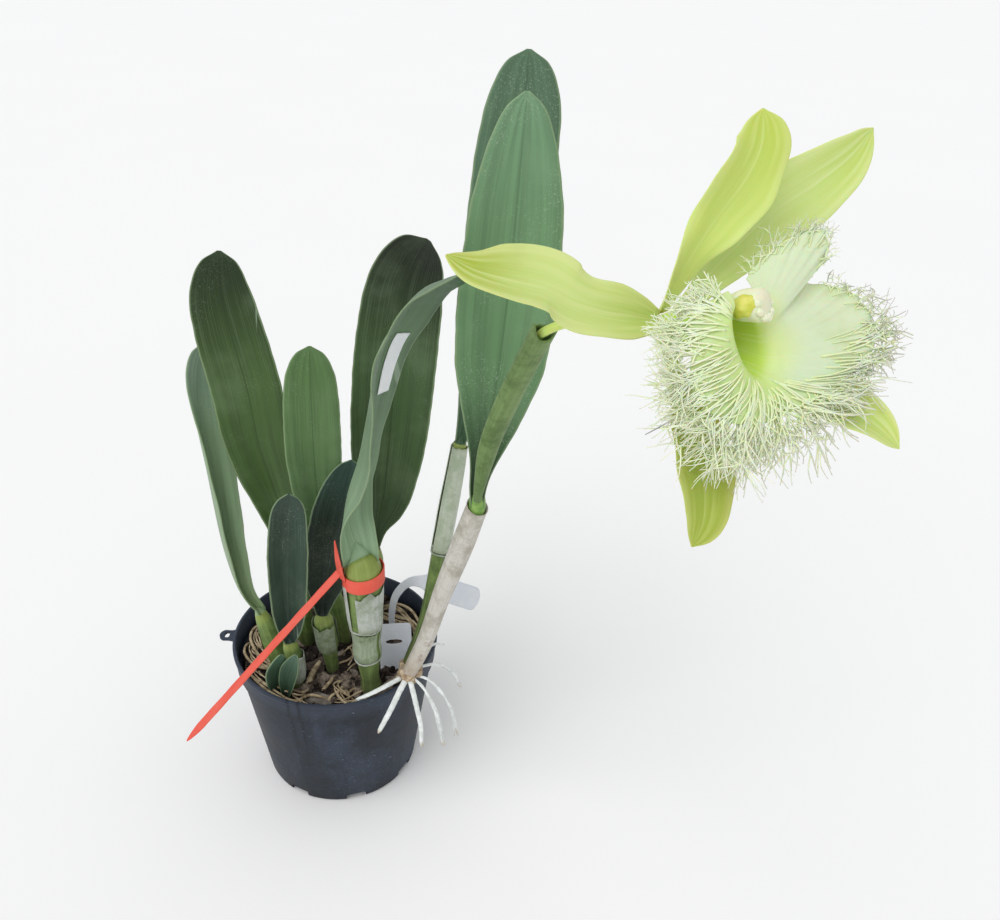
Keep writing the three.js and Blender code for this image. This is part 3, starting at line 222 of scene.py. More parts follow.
# closed skin over two grids of points (rows, columns, 3), with a rounded rim all round
def sheetShell(upper, lower, v=None, bulge=0.45):
    rows, columns = upper.shape[:2]
    middle = (upper + lower) / 2

    def rim(column, inner):
        outward = unit(middle[:, column] - middle[:, inner])
        thick = np.linalg.norm(upper[:, column] - lower[:, column], axis=1, keepdims=True)
        return (middle[:, column] + outward * thick * bulge)[:, None]

    section = np.concatenate([upper, rim(-1, -2), lower[:, ::-1], rim(0, 1)], axis=1)
    count = section.shape[1]
    i, k, k2, faces = ringQuads(rows, count)
    u = np.concatenate([np.linspace(0, 1, columns), [1.0], np.linspace(1, 0, columns), [0.0]])
    v = np.linspace(0, 1, rows) if v is None else np.asarray(v)
    corners = np.stack([np.stack([u[k], u[k2], u[k2], u[k]], 1),
                        np.stack([v[i], v[i], v[i + 1], v[i + 1]], 1)], -1).reshape(-1, 2)
    sides = ((k > columns) & (k < 2 * columns + 1)).astype(int).tolist()
    ends = []
    for row in (0, rows - 1):
        base = row * count
        turned = base + 2 * columns
        for j in range(columns - 1):
            faces.append([base + j, base + j + 1, turned - j - 1, turned - j])
            ends += [[u[j], v[row]]] * 4
        faces.append([base + columns - 1, base + columns, base + columns + 1])
        faces.append([turned, turned + 1, base])
        ends += [[1, v[row]]] * 3 + [[0, v[row]]] * 3
        sides += [0] * (columns + 1)
    return section.reshape(-1, 3), faces, np.vstack([corners, ends]), sides


# several skins as one
def joinShells(shells):
    points, faces, corners, start = [], [], [], 0
    for shell in shells:
        points.append(shell[0])
        faces += [[start + c for c in face] for face in shell[1]]
        corners.append(shell[2])
        start += len(shell[0])
    return np.vstack(points), faces, np.vstack(corners)


def faceOutward(mesh):
    work = bmesh.new()
    work.from_mesh(mesh)
    bmesh.ops.recalc_face_normals(work, faces=work.faces)
    work.to_mesh(mesh)
    work.free()


def addObject(name, data):
    item = bpy.data.objects.new(name, data)
    bpy.context.scene.collection.objects.link(item)
    return item


# an object that rides with the pot, made from a skin in millimetres; sides says which of the
# materials each face takes
def makePiece(name, skin, materials, replaces=(), sides=None, smooth=True):
    points, faces, corners = skin[:3]
    mesh = bpy.data.meshes.new(name)
    mesh.from_pydata((np.asarray(points) * millimetre).tolist(), [], faces)
    for material in materials:
        mesh.materials.append(material)
    if sides is not None:
        mesh.polygons.foreach_set("material_index", sides)
    mesh.polygons.foreach_set("use_smooth", [smooth] * len(mesh.polygons))
    layer = mesh.uv_layers.new(name="UVMap")
    layer.data.foreach_set("uv", np.asarray(corners, float).ravel())
    faceOutward(mesh)
    mesh.update()
    piece = addObject(name, mesh)
    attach(piece, "root")
    if replaces:
        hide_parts(*replaces)
    return piece


# a modifier added and kept
def applied(piece, kind, **settings):
    modifier = piece.modifiers.new(kind.lower(), kind)
    for key, value in settings.items():
        setattr(modifier, key, value)
    bpy.context.view_layer.objects.active = piece
    bpy.ops.object.modifier_apply(modifier=modifier.name)


print("stage: materials")


# layers (pattern, from, to, strength, tone) over a ground: a tone covers nothing where its
# pattern is at the first value, and by its full strength at the second
def layered(tree, ground, *layers):
    colour = hexColour(ground) if isinstance(ground, str) else ground
    for pattern, low, high, strength, tone in layers:
        tone = hexColour(tone) if isinstance(tone, str) else tone
        colour = mixed(tree, ranged(tree, pattern, low, high, 0.0, strength), colour, tone)
    return colour


def painted(tree, shader, ground, *layers):
    tree.links.new(layered(tree, ground, *layers), shader.inputs["Base Color"])


def roughened(tree, shader, pattern, low, high):
    tree.links.new(ranged(tree, pattern, 0.3, 0.8, low, high), shader.inputs["Roughness"])


def distanceFrom(tree, value, spot):
    return maths(tree, "ABSOLUTE", maths(tree, "SUBTRACT", value, spot))


# tones from base to tip of each leaf, with how dusty it is; they are partly each leaf's own green
# and partly painted light and shade, lighter or darker as that leaf stands in the light
leafLooks = {
    "left_outer": dict(low="#94ad7e", middle="#8ca781", tip="#8da890", dust=0.3),
    "left_tall": dict(low="#45602f", middle="#46612f", tip="#1e3010", dust=0.15),
    "middle": dict(low="#4f6f3c", middle="#60804f", tip="#587a45", dust=0.25),
    "front_small": dict(low="#2c4038", middle="#394e40", tip="#34493f", dust=0.35),
    "blue": dict(low="#17241f", middle="#23342c", tip="#38534b", dust=0.25),
    "back_tall": dict(low="#3f5532", middle="#465f38", tip="#101a07", dust=0.12),
    "front_arching": dict(low="#93b08c", middle="#64805f", tip="#3f6145", dust=0.3),
    "rear_tall": dict(low="#48664a", middle="#5c7961", tip="#59775c", dust=0.35),
    "flowering": dict(low="#2f4a2a", middle="#6f966a", tip="#789f79", dust=0.5),
    "young": dict(low="#22332b", middle="#38523f", tip="#4b6a55", dust=0.3),
}


def leafMaterial(name, look, under):
    # leathery leaf cuticle, IOR near 1.45: fine lengthwise veins, dust, a few scratches and a
    # thin pale margin
    tree, shader, material = newMaterial(name, 1.45, 0.5, Specular_IOR_Level=0.35)
    space, uv, u, v = places(tree)
    fromRib = distanceFrom(tree, u, 0.5)
    veins = grain(tree, uv, 1.0, (110, 2.0, 1), 3.0)
    broad = grain(tree, uv, 1.0, (8, 1.4, 1), 2.0)
    cloudy = grain(tree, space, 36.0, detail=5.0)
    fleck = grain(tree, space, 1100.0, detail=2.0, roughness=0.7)
    scratch = grain(tree, space, 130.0, (1, 0.15, 0.06), 2.0, 0.5, 0.5)
    patch = grain(tree, space, 27.0, detail=5.0, roughness=0.7)
    dusty = ranged(tree, patch, 0.44, 0.66, 0.0, look["dust"])
    colour = layered(tree, look["low"], (v, 0.02, 0.4, 1.0, look["middle"]),
                     (v, 0.6, 0.98, 1.0, look["tip"]))
    shade = mixed(tree, 0.35, colour, hexColour("#16240f"))
    light = mixed(tree, 0.3, colour, hexColour("#a9bf9d"))
    colour = layered(tree, colour, (broad, 0.62, 0.36, 0.7, shade), (veins, 0.5, 0.72, 0.4, light),
                     (cloudy, 0.46, 0.74, 0.3, light),
                     (fromRib, 0.02, 0.005, 0.9, light if under else shade),
                     (fleck, 0.55, 0.68, dusty, "#b4c4b0"), (scratch, 0.735, 0.76, 0.5, "#a5b8a2"))
    if under:
        colour = mixed(tree, 0.28, colour, hexColour("#8ba084"))
    painted(tree, shader, colour, (fromRib, 0.482, 0.497, 0.55, "#8fa57c"))
    roughened(tree, shader, cloudy, 0.42, 0.62)
    raised = bumpInto(tree, shader, veins, 0.25, 0.0004)
    raised = bumpInto(tree, shader, cloudy, 0.3, 0.0015, raised)
    bumpInto(tree, shader, fleck, 0.1, 0.0002, raised)
    return material


# a copy of the leaf materials for each leaf, its tones carrying painted light and shade
leafMaterials = {
    name: [leafMaterial("leatheryLeaf_" + name, look, False),
           leafMaterial("leatheryUnderside_" + name, look, True)]
    for name, look in leafLooks.items()
}


def potMaterial():
    # recycled polypropylene, IOR 1.49: matt blue-grey with clouds of dust, runs and pale scuffs,
    # and a painted highlight on the collar and rim
    tree, shader, material = newMaterial("recycledPolypropylene", 1.49, 0.6,
                                         Specular_IOR_Level=0.22)
    space, _, u, _ = places(tree)
    height = addNode(tree, "SeparateXYZ", {0: space}).outputs[2]
    cloudy = grain(tree, space, 26.0, detail=7.0, roughness=0.68)
    runs = grain(tree, space, 55.0, (1, 1, 0.16), 4.0, 0.6)
    fleck = grain(tree, space, 620.0, detail=2.0, roughness=0.8)
    scuff = grain(tree, space, 120.0, (1, 1, 2.4), 2.0, 0.5)
    # two faint folds down the front, left where the mould halves meet: dark lines of painted shade
    # in the folds
    high = ranged(tree, height, 0.03, 0.075, 0.0, 0.55)
    folds = [(distanceFrom(tree, u, spot), 0.0045, 0.001, high, "#12161c")
             for spot in (0.7015, 0.7185)]
    dusty = ranged(tree, cloudy, 0.4, 0.62, 0.0, 0.4)
    # from 84 mm up the collar and rim turn lighter: a painted highlight where the light falls on
    # them
    painted(tree, shader, "#1a1f27", (cloudy, 0.34, 0.68, 1.0, "#3b4452"),
            (runs, 0.62, 0.4, 0.5, "#191e26"), (height, 0.084, 0.096, 0.3, "#525b6c"), *folds,
            (fleck, 0.6, 0.7, dusty, "#7d8691"), (scuff, 0.755, 0.775, 0.8, "#aab4bf"))
    roughened(tree, shader, cloudy, 0.48, 0.7)
    bumpInto(tree, shader, fleck, 0.15, 0.0002, bumpInto(tree, shader, cloudy, 0.35, 0.002))
    return material


def barkMaterial():
    # composted pine bark, damp: rough, almost no gloss; u of the map is each chip's own tone
    tree, shader, material = newMaterial("dampPineBark", 1.4, 0.85, Specular_IOR_Level=0.25)
    space, _, u, _ = places(tree)
    fibres = grain(tree, space, 420.0, (1, 1, 0.25), 5.0, 0.65)
    patches = grain(tree, space, 95.0, detail=3.0)
    painted(tree, shader, "#1c1715", (u, 0.0, 0.8, 1.0, "#564b44"),
            (u, 0.86, 0.94, 1.0, "#8d867f"), (patches, 0.45, 0.7, 0.6, "#211813"),
            (fibres, 0.5, 0.7, 0.45, "#6f6157"))
    bumpInto(tree, shader, fibres, 0.7, 0.0008)
    return material


def rootMaterial(name, dark, pale, tip=None):
    # roots: spongy matt velamen skin with fine lengthwise cracks
    tree, shader, material = newMaterial(name, 1.38, 0.78, Specular_IOR_Level=0.25)
    space, uv, _, v = places(tree)
    cracks = grain(tree, uv, 1.0, (14, 3, 1), 3.0)
    cloudy = grain(tree, space, 190.0, detail=5.0, roughness=0.7)
    end = [(v, 0.9, 0.99, 1.0, tip)] if tip else []
    painted(tree, shader, dark, (cloudy, 0.35, 0.65, 1.0, pale), (cracks, 0.55, 0.75, 0.4, dark),
            *end)
    bumpInto(tree, shader, cloudy, 0.6, 0.0005)
    return material


def bulbMaterial():
    # waxy green bulb skin, IOR 1.45: paler furrows, brown flecks, yellow-green collar at the top
    tree, shader, material = newMaterial("waxyBulbSkin", 1.45, 0.45, Specular_IOR_Level=0.4)
    space, uv, _, v = places(tree)
    furrows = grain(tree, uv, 1.0, (22, 1.5, 1), 3.0)
    cloudy = grain(tree, space, 90.0, detail=5.0, roughness=0.65)
    fleck = grain(tree, space, 520.0, detail=3.0, roughness=0.7)
    painted(tree, shader, "#556d38", (cloudy, 0.35, 0.7, 1.0, "#7b9350"),
            (v, 0.45, 0.0, 0.7, "#4b4f37"), (furrows, 0.5, 0.7, 0.4, "#9bae6c"),
            (v, 0.8, 0.93, 0.6, "#98a552"), (fleck, 0.62, 0.7, 0.45, "#6d5a3c"))
    bumpInto(tree, shader, furrows, 0.4, 0.0006)
    return material


def paperMaterial(name, dark, pale, scar, low, scars):
    # dry papery sheath: matt silvery fibres with scars, darker low down
    tree, shader, material = newMaterial(name, 1.4, 0.62, Specular_IOR_Level=0.3,
                                         Sheen_Weight=0.15)
    space, uv, _, v = places(tree)
    fibres = grain(tree, uv, 1.0, (34, 1.3, 1), 4.0, 0.6)
    cloudy = grain(tree, space, 75.0, detail=6.0, roughness=0.72)
    scarred = ranged(tree, v, 0.05, 0.6, scars, 0.15 * scars)
    painted(tree, shader, dark, (cloudy, 0.34, 0.62, 1.0, pale), (fibres, 0.6, 0.38, 0.35, dark),
            (cloudy, 0.56, 0.68, scarred, scar), (v, 0.22, 0.0, 0.5, low))
    bumpInto(tree, shader, cloudy, 0.3, 0.001, bumpInto(tree, shader, fibres, 0.35, 0.0005))
    return material


def petalMaterial(name, foot, middle, tip, vein, edge, paleEdge):
    # soft petal tissue: thin enough for light to pass, satin, with fine lengthwise veins
    tree, shader, material = newMaterial(name, 1.4, 0.55, Specular_IOR_Level=0.25,
                                         Subsurface_Weight=0.25, Subsurface_Scale=0.003)
    _, uv, u, v = places(tree)
    fromRib = distanceFrom(tree, u, 0.5)
    veins = grain(tree, uv, 1.0, (70, 2.0, 1), 3.0)
    broad = grain(tree, uv, 1.0, (7, 1.6, 1), 2.0)
    painted(tree, shader, foot, (v, 0.0, 0.45, 1.0, middle), (v, 0.55, 1.0, 1.0, tip),
            (broad, 0.4, 0.66, 0.5, vein), (veins, 0.5, 0.72, 0.3, vein),
            (fromRib, 0.3, 0.5, paleEdge, edge), (fromRib, 0.02, 0.004, 0.3, edge))
    bumpInto(tree, shader, veins, 0.3, 0.0004)
    return material


def lipMaterial():
    # lip tissue: lime in the throat, cream-mint further out, yellow-green on the near side, at
    # the low end of u
    tree, shader, material = newMaterial("fringedLipTissue", 1.38, 0.55, Specular_IOR_Level=0.2,
                                         Subsurface_Weight=0.25, Subsurface_Scale=0.003)
    space, uv, u, v = places(tree)
    veins = grain(tree, uv, 1.0, (90, 1.6, 1), 3.0)
    cloudy = grain(tree, space, 70.0, detail=4.0)
    far = layered(tree, "#e0f0a6", (v, 0.42, 0.72, 1.0, "#d9e7c4"))
    near = layered(tree, "#cfe78d", (v, 0.45, 0.8, 1.0, "#d3e4a4"))
    painted(tree, shader, near, (u, 0.36, 0.48, 1.0, far), (v, 0.46, 0.26, 1.0, "#bfe05c"),
            (cloudy, 0.45, 0.7, 0.3, "#bdd196"), (veins, 0.52, 0.72, 0.3, "#e6efd6"))
    bumpInto(tree, shader, veins, 0.3, 0.0004)
    return material


def fringeMaterial():
    # fringe hairs: cream-green, greying towards their tips; u of the map tells how grey each hair
    # is
    tree, shader, material = newMaterial("fringeHairs", 1.4, 0.6, Specular_IOR_Level=0.2,
                                         Subsurface_Weight=0.2, Subsurface_Scale=0.001)
    space, _, u, v = places(tree)
    patch = grain(tree, space, 130.0, detail=2.0)
    painted(tree, shader, "#eef7c2", (v, 0.0, 0.5, 1.0, "#f6fae0"),
            (patch, 0.45, 0.75, 0.5, "#e2f0b0"), (v, 0.3, 0.85, u, "#8b8f98"))
    return material


def waxMaterial(name, dark, pale, blush):
    # waxy column tissue, IOR 1.42: satin and softly lit from within, with a blush at the far end
    tree, shader, material = newMaterial(name, 1.42, 0.42, Subsurface_Weight=0.25,
                                         Subsurface_Scale=0.002)
    space, _, _, v = places(tree)
    cloudy = grain(tree, space, 240.0, detail=3.0)
    painted(tree, shader, dark, (cloudy, 0.35, 0.65, 1.0, pale), (v, 0.5, 1.0, 0.6, blush))
    bumpInto(tree, shader, cloudy, 0.25, 0.0004)
    return material


def plasticMaterial(name, base, marks, rough, transmission=0.0):
    # thin plastic strip, IOR 1.5, with faint creases and dust
    tree, shader, material = newMaterial(name, 1.5, rough, Transmission_Weight=transmission)
    space = places(tree)[0]
    cloudy = grain(tree, space, 70.0, detail=5.0, roughness=0.65)
    fine = grain(tree, space, 420.0, detail=2.0)
    painted(tree, shader, base, (cloudy, 0.4, 0.75, 0.6, marks))
    roughened(tree, shader, cloudy, rough - 0.08, rough + 0.12)
    bumpInto(tree, shader, fine, 0.15, 0.0002)
    return material


finishes = {
    "pot": potMaterial(),
    "bark": barkMaterial(),
    "dryRoot": rootMaterial("dryVelamen", "#86745c", "#c9b898"),
    "rhizome": rootMaterial("scalyRhizome", "#41382f", "#94877a"),
    "crown": rootMaterial("tanCrownBark", "#8d7458", "#d2bfa5"),
    "freshRoot": rootMaterial("freshVelamen", "#d3d9d5", "#f3f6f5", "#c3b9a4"),
    "bulb": bulbMaterial(),
    "cane": paperMaterial("silverBeigeCaneSheath", "#aaa497", "#d6d3cb", "#8a7763", "#9d8468", 0.9),
    "bract": paperMaterial("silverPaperBract", "#8b9580", "#c3c8c2", "#5f6b49", "#7d8467", 0.6),
    "greenBract": paperMaterial("greenPaperBract", "#64744f", "#9aa68e", "#4d5c39", "#5b6744", 0.6),
    "rearBract": paperMaterial("paleGreenStemSheath", "#a3b096", "#c6cdbe", "#7a8668", "#8b9778",
                               0.6),
    "spathe": paperMaterial("drySpathe", "#546e39", "#7a945a", "#46592f", "#4f6a34", 0.4),
    "neck": waxMaterial("greenNeckSkin", "#6f9a45", "#8fb35f", "#a4bd6a"),
    "petal": petalMaterial("softPetal", "#d6e98c", "#c8df74", "#c2d962", "#d9e88c", "#e2eea6", 0.4),
    "palePetal": petalMaterial("softPalePetal", "#bcd36c", "#c9df86", "#a9bd3e", "#dbe9a0",
                               "#dbe6a0", 0.5),
    "farPetal": petalMaterial("softFarPetal", "#d6ec9e", "#d0e890", "#c3db70", "#e0efae", "#e4f0b2",
                              0.4),
    "warmPetal": petalMaterial("softWarmPetal", "#b3c95c", "#a9bf50", "#a3b849", "#c2d273",
                               "#cbd987", 0.5),
    "lip": lipMaterial(),
    "fringe": fringeMaterial(),
    "column": waxMaterial("waxyColumn", "#dfeab4", "#eef2cc", "#f3ecd2"),
    "cap": waxMaterial("yellowCapWax", "#cfd24e", "#e2e074", "#ead97a"),
    "crest": waxMaterial("blushCrestWax", "#eef0cc", "#f6f6dc", "#f2f0cc"),
    "strap": plasticMaterial("softVinylStrap", "#e2533f", "#ee7260", 0.5),
    "label": plasticMaterial("frostedLabel", "#e2e7f0", "#f5f7fb", 0.5, 0.05),
    "sticker": plasticMaterial("blankStickerFilm", "#f6f8fb", "#e2e7ef", 0.5),
}

print("stage: pot")

pot = dict(
    height=101, rim=65, base=49.5, wall=1.6, collar=15.5, step=1.7, rimStep=1.6, segments=160,
    slots=8, slotTurn=0.42, slotOut=0.6, slotHigh=5.657, slotReach=6.5, sharp=38)
lug = dict(
    foot=(62.6, 6), shoulder=(68.5, 4.2), centre=71, radius=4.6, turn=2 * math.pi / 2.6, steps=24,
    slotCentre=70.6, slotHalf=(1.7, 2.9), low=94.1, high=95.9, bevel=0.0004)


# ring skin from an endless profile of (radius, height)
def latheRings(profile, segments):
    profile = np.asarray(profile, float)
    angles = turnAngles(segments)
    return np.stack([profile[:, :1] * np.cos(angles), profile[:, :1] * np.sin(angles),
                     np.repeat(profile[:, 1:], segments, axis=1)], -1)


def makePot():
    rim, height, wall, base = pot["rim"], pot["height"], pot["wall"], pot["base"]
    level = height - pot["collar"]
    collar = rim - pot["rimStep"]
    top = collar - pot["step"]
    # from the middle of the underside, over the rim and back to the middle inside
    profile = [
        (0.01, 0), (base - 2, 0), (base - 0.8, 0.5), (base - 0.1, 2.0), (top - 0.1, level - 1.2),
        (top + 0.1, level - 0.5), (collar - 0.3, level + 0.1), (collar, level + 0.7),
        (rim - 0.9, height - 3.4), (rim - 0.25, height - 2.8), (rim, height - 2.1),
        (rim, height - 0.9), (rim - 0.4, height - 0.2), (rim - 1.0, height),
        (rim - wall - 0.1, height), (rim - wall - 0.7, height - 0.7), (collar - wall, level + 0.6),
        (top - wall, level - 0.8), (base - wall, wall + 1.4), (base - wall - 1.4, wall),
        (0.01, wall),
    ]
    shell = tubeShell(latheRings(profile, pot["segments"]))
    piece = makePiece("nursery_pot", shell, [finishes["pot"]], ["pot"])
    # the drain slots are cut by square bars laid across the foot
    high, reach = pot["slotHigh"], pot["slotReach"]
    diamond = [(0, -high), (high, 0), (0, high), (-high, 0)]
    for i in range(pot["slots"]):
        turn = (i + pot["slotTurn"]) * 2 * math.pi / pot["slots"]
        outward = np.array([-math.sin(turn), math.cos(turn)])
        across = np.array([math.cos(turn), math.sin(turn)])
        rings = [[[*(outward * (base + pot["slotOut"] + y) + across * x), z] for y, z in diamond]
                 for x in (-reach, reach)]
        points, faces, _ = tubeShell(np.array(rings))
        mesh = bpy.data.meshes.new("slot")
        mesh.from_pydata((points * millimetre).tolist(), [], faces)
        faceOutward(mesh)
        cutter = addObject("slot", mesh)
        applied(piece, "BOOLEAN", operation="DIFFERENCE", object=cutter, solver="EXACT")
        bpy.data.objects.remove(cutter)
    applied(piece, "EDGE_SPLIT", split_angle=math.radians(pot["sharp"]))


# a flat lug with a slot through it; the ring of levels is closed by its first outline
def makeLug():
    radius, middle, (wide, long) = lug["radius"], lug["slotCentre"], lug["slotHalf"]
    arc = [-lug["turn"] / 2 + i * lug["turn"] / lug["steps"] for i in range(lug["steps"] + 1)]
    (x1, y1), (x2, y2) = lug["foot"], lug["shoulder"]
    outline = [(x1, -y1), (x2, -y2)]
    outline += [(lug["centre"] + radius * math.cos(a), radius * math.sin(a)) for a in arc]
    outline += [(x2, y2), (x1, y1)]
    count = len(outline)
    turns = [math.atan2(y, x - middle) for x, y in outline]
    inner = [(middle + wide * math.cos(a), long * math.sin(a)) for a in turns]
    low, high = lug["low"], lug["high"]
    levels = ((outline, low), (outline, high), (inner, high), (inner, low), (outline, low))
    rings = np.array([[(-x, -y, z) for x, y in points] for points, z in levels], float)
    points, faces, corners = tubeShell(rings, capped=False)
    faces = [[c % (4 * count) for c in face] for face in faces]
    skin = points[:4 * count], faces, corners
    piece = makePiece("pot_lug", skin, [finishes["pot"]], smooth=False)
    applied(piece, "BEVEL", width=lug["bevel"], segments=2)


makePot()
makeLug()

print("stage: potting medium")

bark = dict(
    chips=560, spread=59.0, level=86.3, seed=11, pale=0.07, smallest=6, growth=9, turn=2.39996,
    tilt=(0.8, 1.0), worn=0.22, noise=[(1.3, 0.55), (3.6, 0.16)],
    body=[(0.01, 2.0), (45.6, 2.0), (47.2, 4.0), (59.1, 84), (0.01, 84)])


# one rough flake of bark, as points of a split box pushed about by noise
def barkChip(rng, size):
    grid = np.linspace(-1, 1, 5)
    faces, points, index = [], [], {}

    def corner(*place):
        key = tuple(round(float(c), 4) for c in place)
        if key not in index:
            index[key] = len(points)
            points.append(place)
        return index[key]

    for a, b in zip(grid[:-1], grid[1:]):
        for c, d in zip(grid[:-1], grid[1:]):
            for z in (-1.0, 1.0):
                faces.append([corner(x, y, z) for x, y in ((a, c), (b, c), (b, d), (a, d))])
        for side in (-1.0, 1.0):
            edges = ((a, -1), (b, -1), (b, 1), (a, 1))
            faces.append([corner(x, side, z) for x, z in edges])
            faces.append([corner(side, y, z) for y, z in edges])
    points = np.array(points)
    shift = Vector((rng.random() * 50, rng.random() * 50, rng.random() * 50))
    worn = 1 - bark["worn"] * (np.abs(points[:, :1]) ** 4) * (np.abs(points[:, 1:2]) ** 4)
    chip = points * worn
    for scale, reach in bark["noise"]:
        push = np.array([noise.noise_vector(Vector(p) * scale + shift) for p in points])
        chip = chip + push * reach
    return chip * np.array(size) / 2, faces


def makeMedium():
    rng = random.Random(bark["seed"])
    # without this, noise_vector takes its seed from the clock
    noise.seed_set(bark["seed"])
    shells = []
    for i in range(bark["chips"]):
        spread = bark["spread"] * math.sqrt((i + 0.5) / bark["chips"])
        turn = i * bark["turn"]
        size = bark["smallest"] + bark["growth"] * rng.random() ** 1.6
        wide, thick = size * (0.4 + 0.4 * rng.random()), 2 + 3 * rng.random()
        points, faces = barkChip(rng, (size, wide, thick))
        tilt = Euler((bark["tilt"][0] * (rng.random() - 0.5),
                      bark["tilt"][1] * (rng.random() - 0.5), 2 * math.pi * rng.random()))
        points = points @ np.array(tilt.to_matrix()).T
        lift = 2.6 * noise.noise(Vector((spread * 0.05, turn, 3.1))) + 1.6 * rng.random()
        reach = min(spread, bark["spread"] - 0.35 * size)
        place = [reach * math.cos(turn), reach * math.sin(turn), bark["level"] + lift]
        points = points + np.array(place)
        tone = 0.97 if rng.random() < bark["pale"] else 0.8 * rng.random() ** 1.6
        shells.append((points, faces, np.full((sum(len(f) for f in faces), 2), tone)))
    points, faces, corners = tubeShell(latheRings(bark["body"], 72))
    shells.append((points, faces, np.full((len(corners), 2), 0.1)))
    makePiece("bark_chips", joinShells(shells), [finishes["bark"]], ["potting_medium"],
              smooth=False)


makeMedium()

print("stage: rhizome and roots")

roots = dict(seed=5, sunk=1.6, beside=4, outer=(2, 3, 4))
rhizomePaths = [
    [[-31, -24, 88], [-17, -41, 87.5], [-4, -30, 89], [12, -32, 88], [28, -45, 88.5], [40, -38, 97],
     [46, -39, 104]],
    [[-31, -24, 88], [-27, -8, 87.5], [-20, 10, 88], [-4, 12, 88], [10, 20, 87.5], [22, 41, 88]],
]
dryRoots = [
    [[-31, -24, 88], [-44, -20, 95], [-54, -6, 98], [-55, 10, 94], [-48, 24, 87]],
    [[-30, -22, 88], [-46, -26, 94], [-54, -20, 97], [-57, -8, 94], [-55, 5, 87]],
    [[-24, -4, 88], [-38, 4, 95], [-49, 12, 95], [-47, 24, 87]],
    [[-12, -42, 88], [-17, -55, 93.5], [-32, -50, 96], [-48, -34, 94], [-55, -20, 87]],
    [[22, 41, 88], [34, 38, 95], [46, 28, 98], [54, 12, 94], [54, -1, 87]],
    [[22, 38, 88], [38, 24, 95], [48, 18, 97], [56, 2, 94], [54, -12, 87]],
    [[12, -32, 88], [8, -47, 94], [16, -55, 93], [25, -52, 87]],
    [[28, -45, 88], [24, -55, 95], [12, -57, 93], [3, -52, 87]],
    [[10, 20, 88], [16, 2, 95], [26, -8, 94], [40, -10, 87]],
    [[-20, 10, 88], [-14, 30, 95], [4, 46, 94], [20, 52, 87]],
]
freshRoots = [
    [[50, -44, 106], [47, -51, 104], [42, -60, 96], [35, -68, 84]],
    [[52, -45, 106], [54, -51, 104.5], [57, -57, 96], [60, -62, 84], [60.5, -66, 72]],
    [[54, -44, 106.5], [59, -48, 105], [65, -52, 97], [70, -55, 82], [73, -57, 64]],
    [[55, -42, 107], [62, -44, 106.5], [70, -46, 100], [77, -48, 86], [81, -50, 68]],
    [[54, -36, 106.5], [61, -33, 107], [69, -29, 104.5], [77, -27, 96], [81, -25, 83]],
    [[51, -30, 106], [57, -22, 108], [64, -14, 107], [70, -6, 100]],
    [[46, -44, 106], [40, -50, 106.5], [31, -56, 105], [20, -56.5, 98.5]],
]
freshRadii = [1.8, 1.6, 0.8, 0.8, 0.9, 0.9, 1.4]
# thin roots that wander over the bark, with their radii
surfaceRoots = [
    ([[2.2, -49.9, 86], [3.3, -47, 90.5], [6.9, -43.6, 91.5], [12.8, -42.1, 91.5],
      [14.7, -46.1, 90.5], [13.4, -47.6, 87]], 0.9),
    ([[12.4, -42.9, 88], [15.7, -40.3, 91], [20.4, -38.4, 91], [23.1, -31.7, 87]], 0.9),
    ([[-15.2, -38, 86], [-12.1, -33.2, 89.5], [-10.1, -25.7, 92], [-7.4, -19.5, 94]], 2.3),
    ([[0.1, -13.2, 87], [5.6, -6.9, 91], [11.1, -0.1, 92], [16.3, 8.6, 87]], 0.7),
    ([[-1, -22.4, 87], [3.8, -19.1, 92], [9.5, -15.1, 92], [12.4, -1.3, 87]], 0.7),
    ([[-3.3, -38.3, 87], [1.2, -34.2, 91], [4, -28.8, 91], [7.7, -29, 87]], 1.2),
    ([[-15.4, -45.8, 87], [-9.1, -46, 91], [-1.6, -47.2, 91], [5.5, -46.4, 87]], 1.0),
    ([[20.9, -44, 87], [31, -43, 91], [39, -40, 94.5], [45.2, -36.8, 98]], 1.1),
    ([[-24, -38, 87], [-20, -46, 90.5], [-12, -52, 91], [-2, -55, 87]], 0.7),
    ([[8, -20, 87], [12, -12, 92], [9, -3, 91], [2, 4, 87]], 0.6),
    ([[30, -20, 87], [22, -14, 92], [14, -18, 91.5], [7, -25, 87]], 0.7),
    ([[36, -4, 87], [28, 4, 92], [16, 2, 92], [8, -6, 87]], 0.7),
]
knobs = dict(
    crown=[(50, -42, 107.3, 5.8), (48.5, -33, 106.2, 5), (55, -38, 106.6, 4.4),
           (53, -45, 105.6, 3.2), (46.5, -40, 104.6, 3.6), (57, -42, 108.6, 2.6)],
    rhizome=[(-14, -39, 87.6, 5.2), (-4, -31, 89, 5.6), (3, -30, 88.4, 4.6), (11, -35, 88, 5.4),
             (20, -40, 88, 5), (28, -44, 88.6, 5.8), (-30, -23, 88, 5.4), (-23, 2, 88, 5),
             (8, 18, 88, 5), (9.8, -26.4, 88.4, 3.6), (14.5, -24.3, 88, 3.8),
             (19.7, -29.4, 88.4, 3.4), (23.8, -36.8, 88, 3.2), (14.5, -32.3, 88, 3.2)],
)


# ring scars and wobble of a rhizome or root
def knobbly(size, count, shift):
    def swell(shares, angles):
        rings = size * np.maximum(np.sin(2 * math.pi * count * shares + shift), 0) ** 6
        wobble = np.sin(3 * angles + 17 * shares + shift) * np.sin(23 * shares + 2 * shift)
        return (rings + 0.5 * size * wobble) * np.clip((1 - shares) / 0.2, 0, 1)
    return swell


# rings of points on a ball of radius 1
def ballRings(rows, sides):
    shares = np.linspace(0.02, 0.98, rows)
    angles = turnAngles(sides)
    wide = np.sin(math.pi * shares)[:, None]
    tall = np.repeat(np.cos(math.pi * shares)[:, None], sides, axis=1)
    return np.stack([wide * np.cos(angles), wide * np.sin(angles), tall], -1)


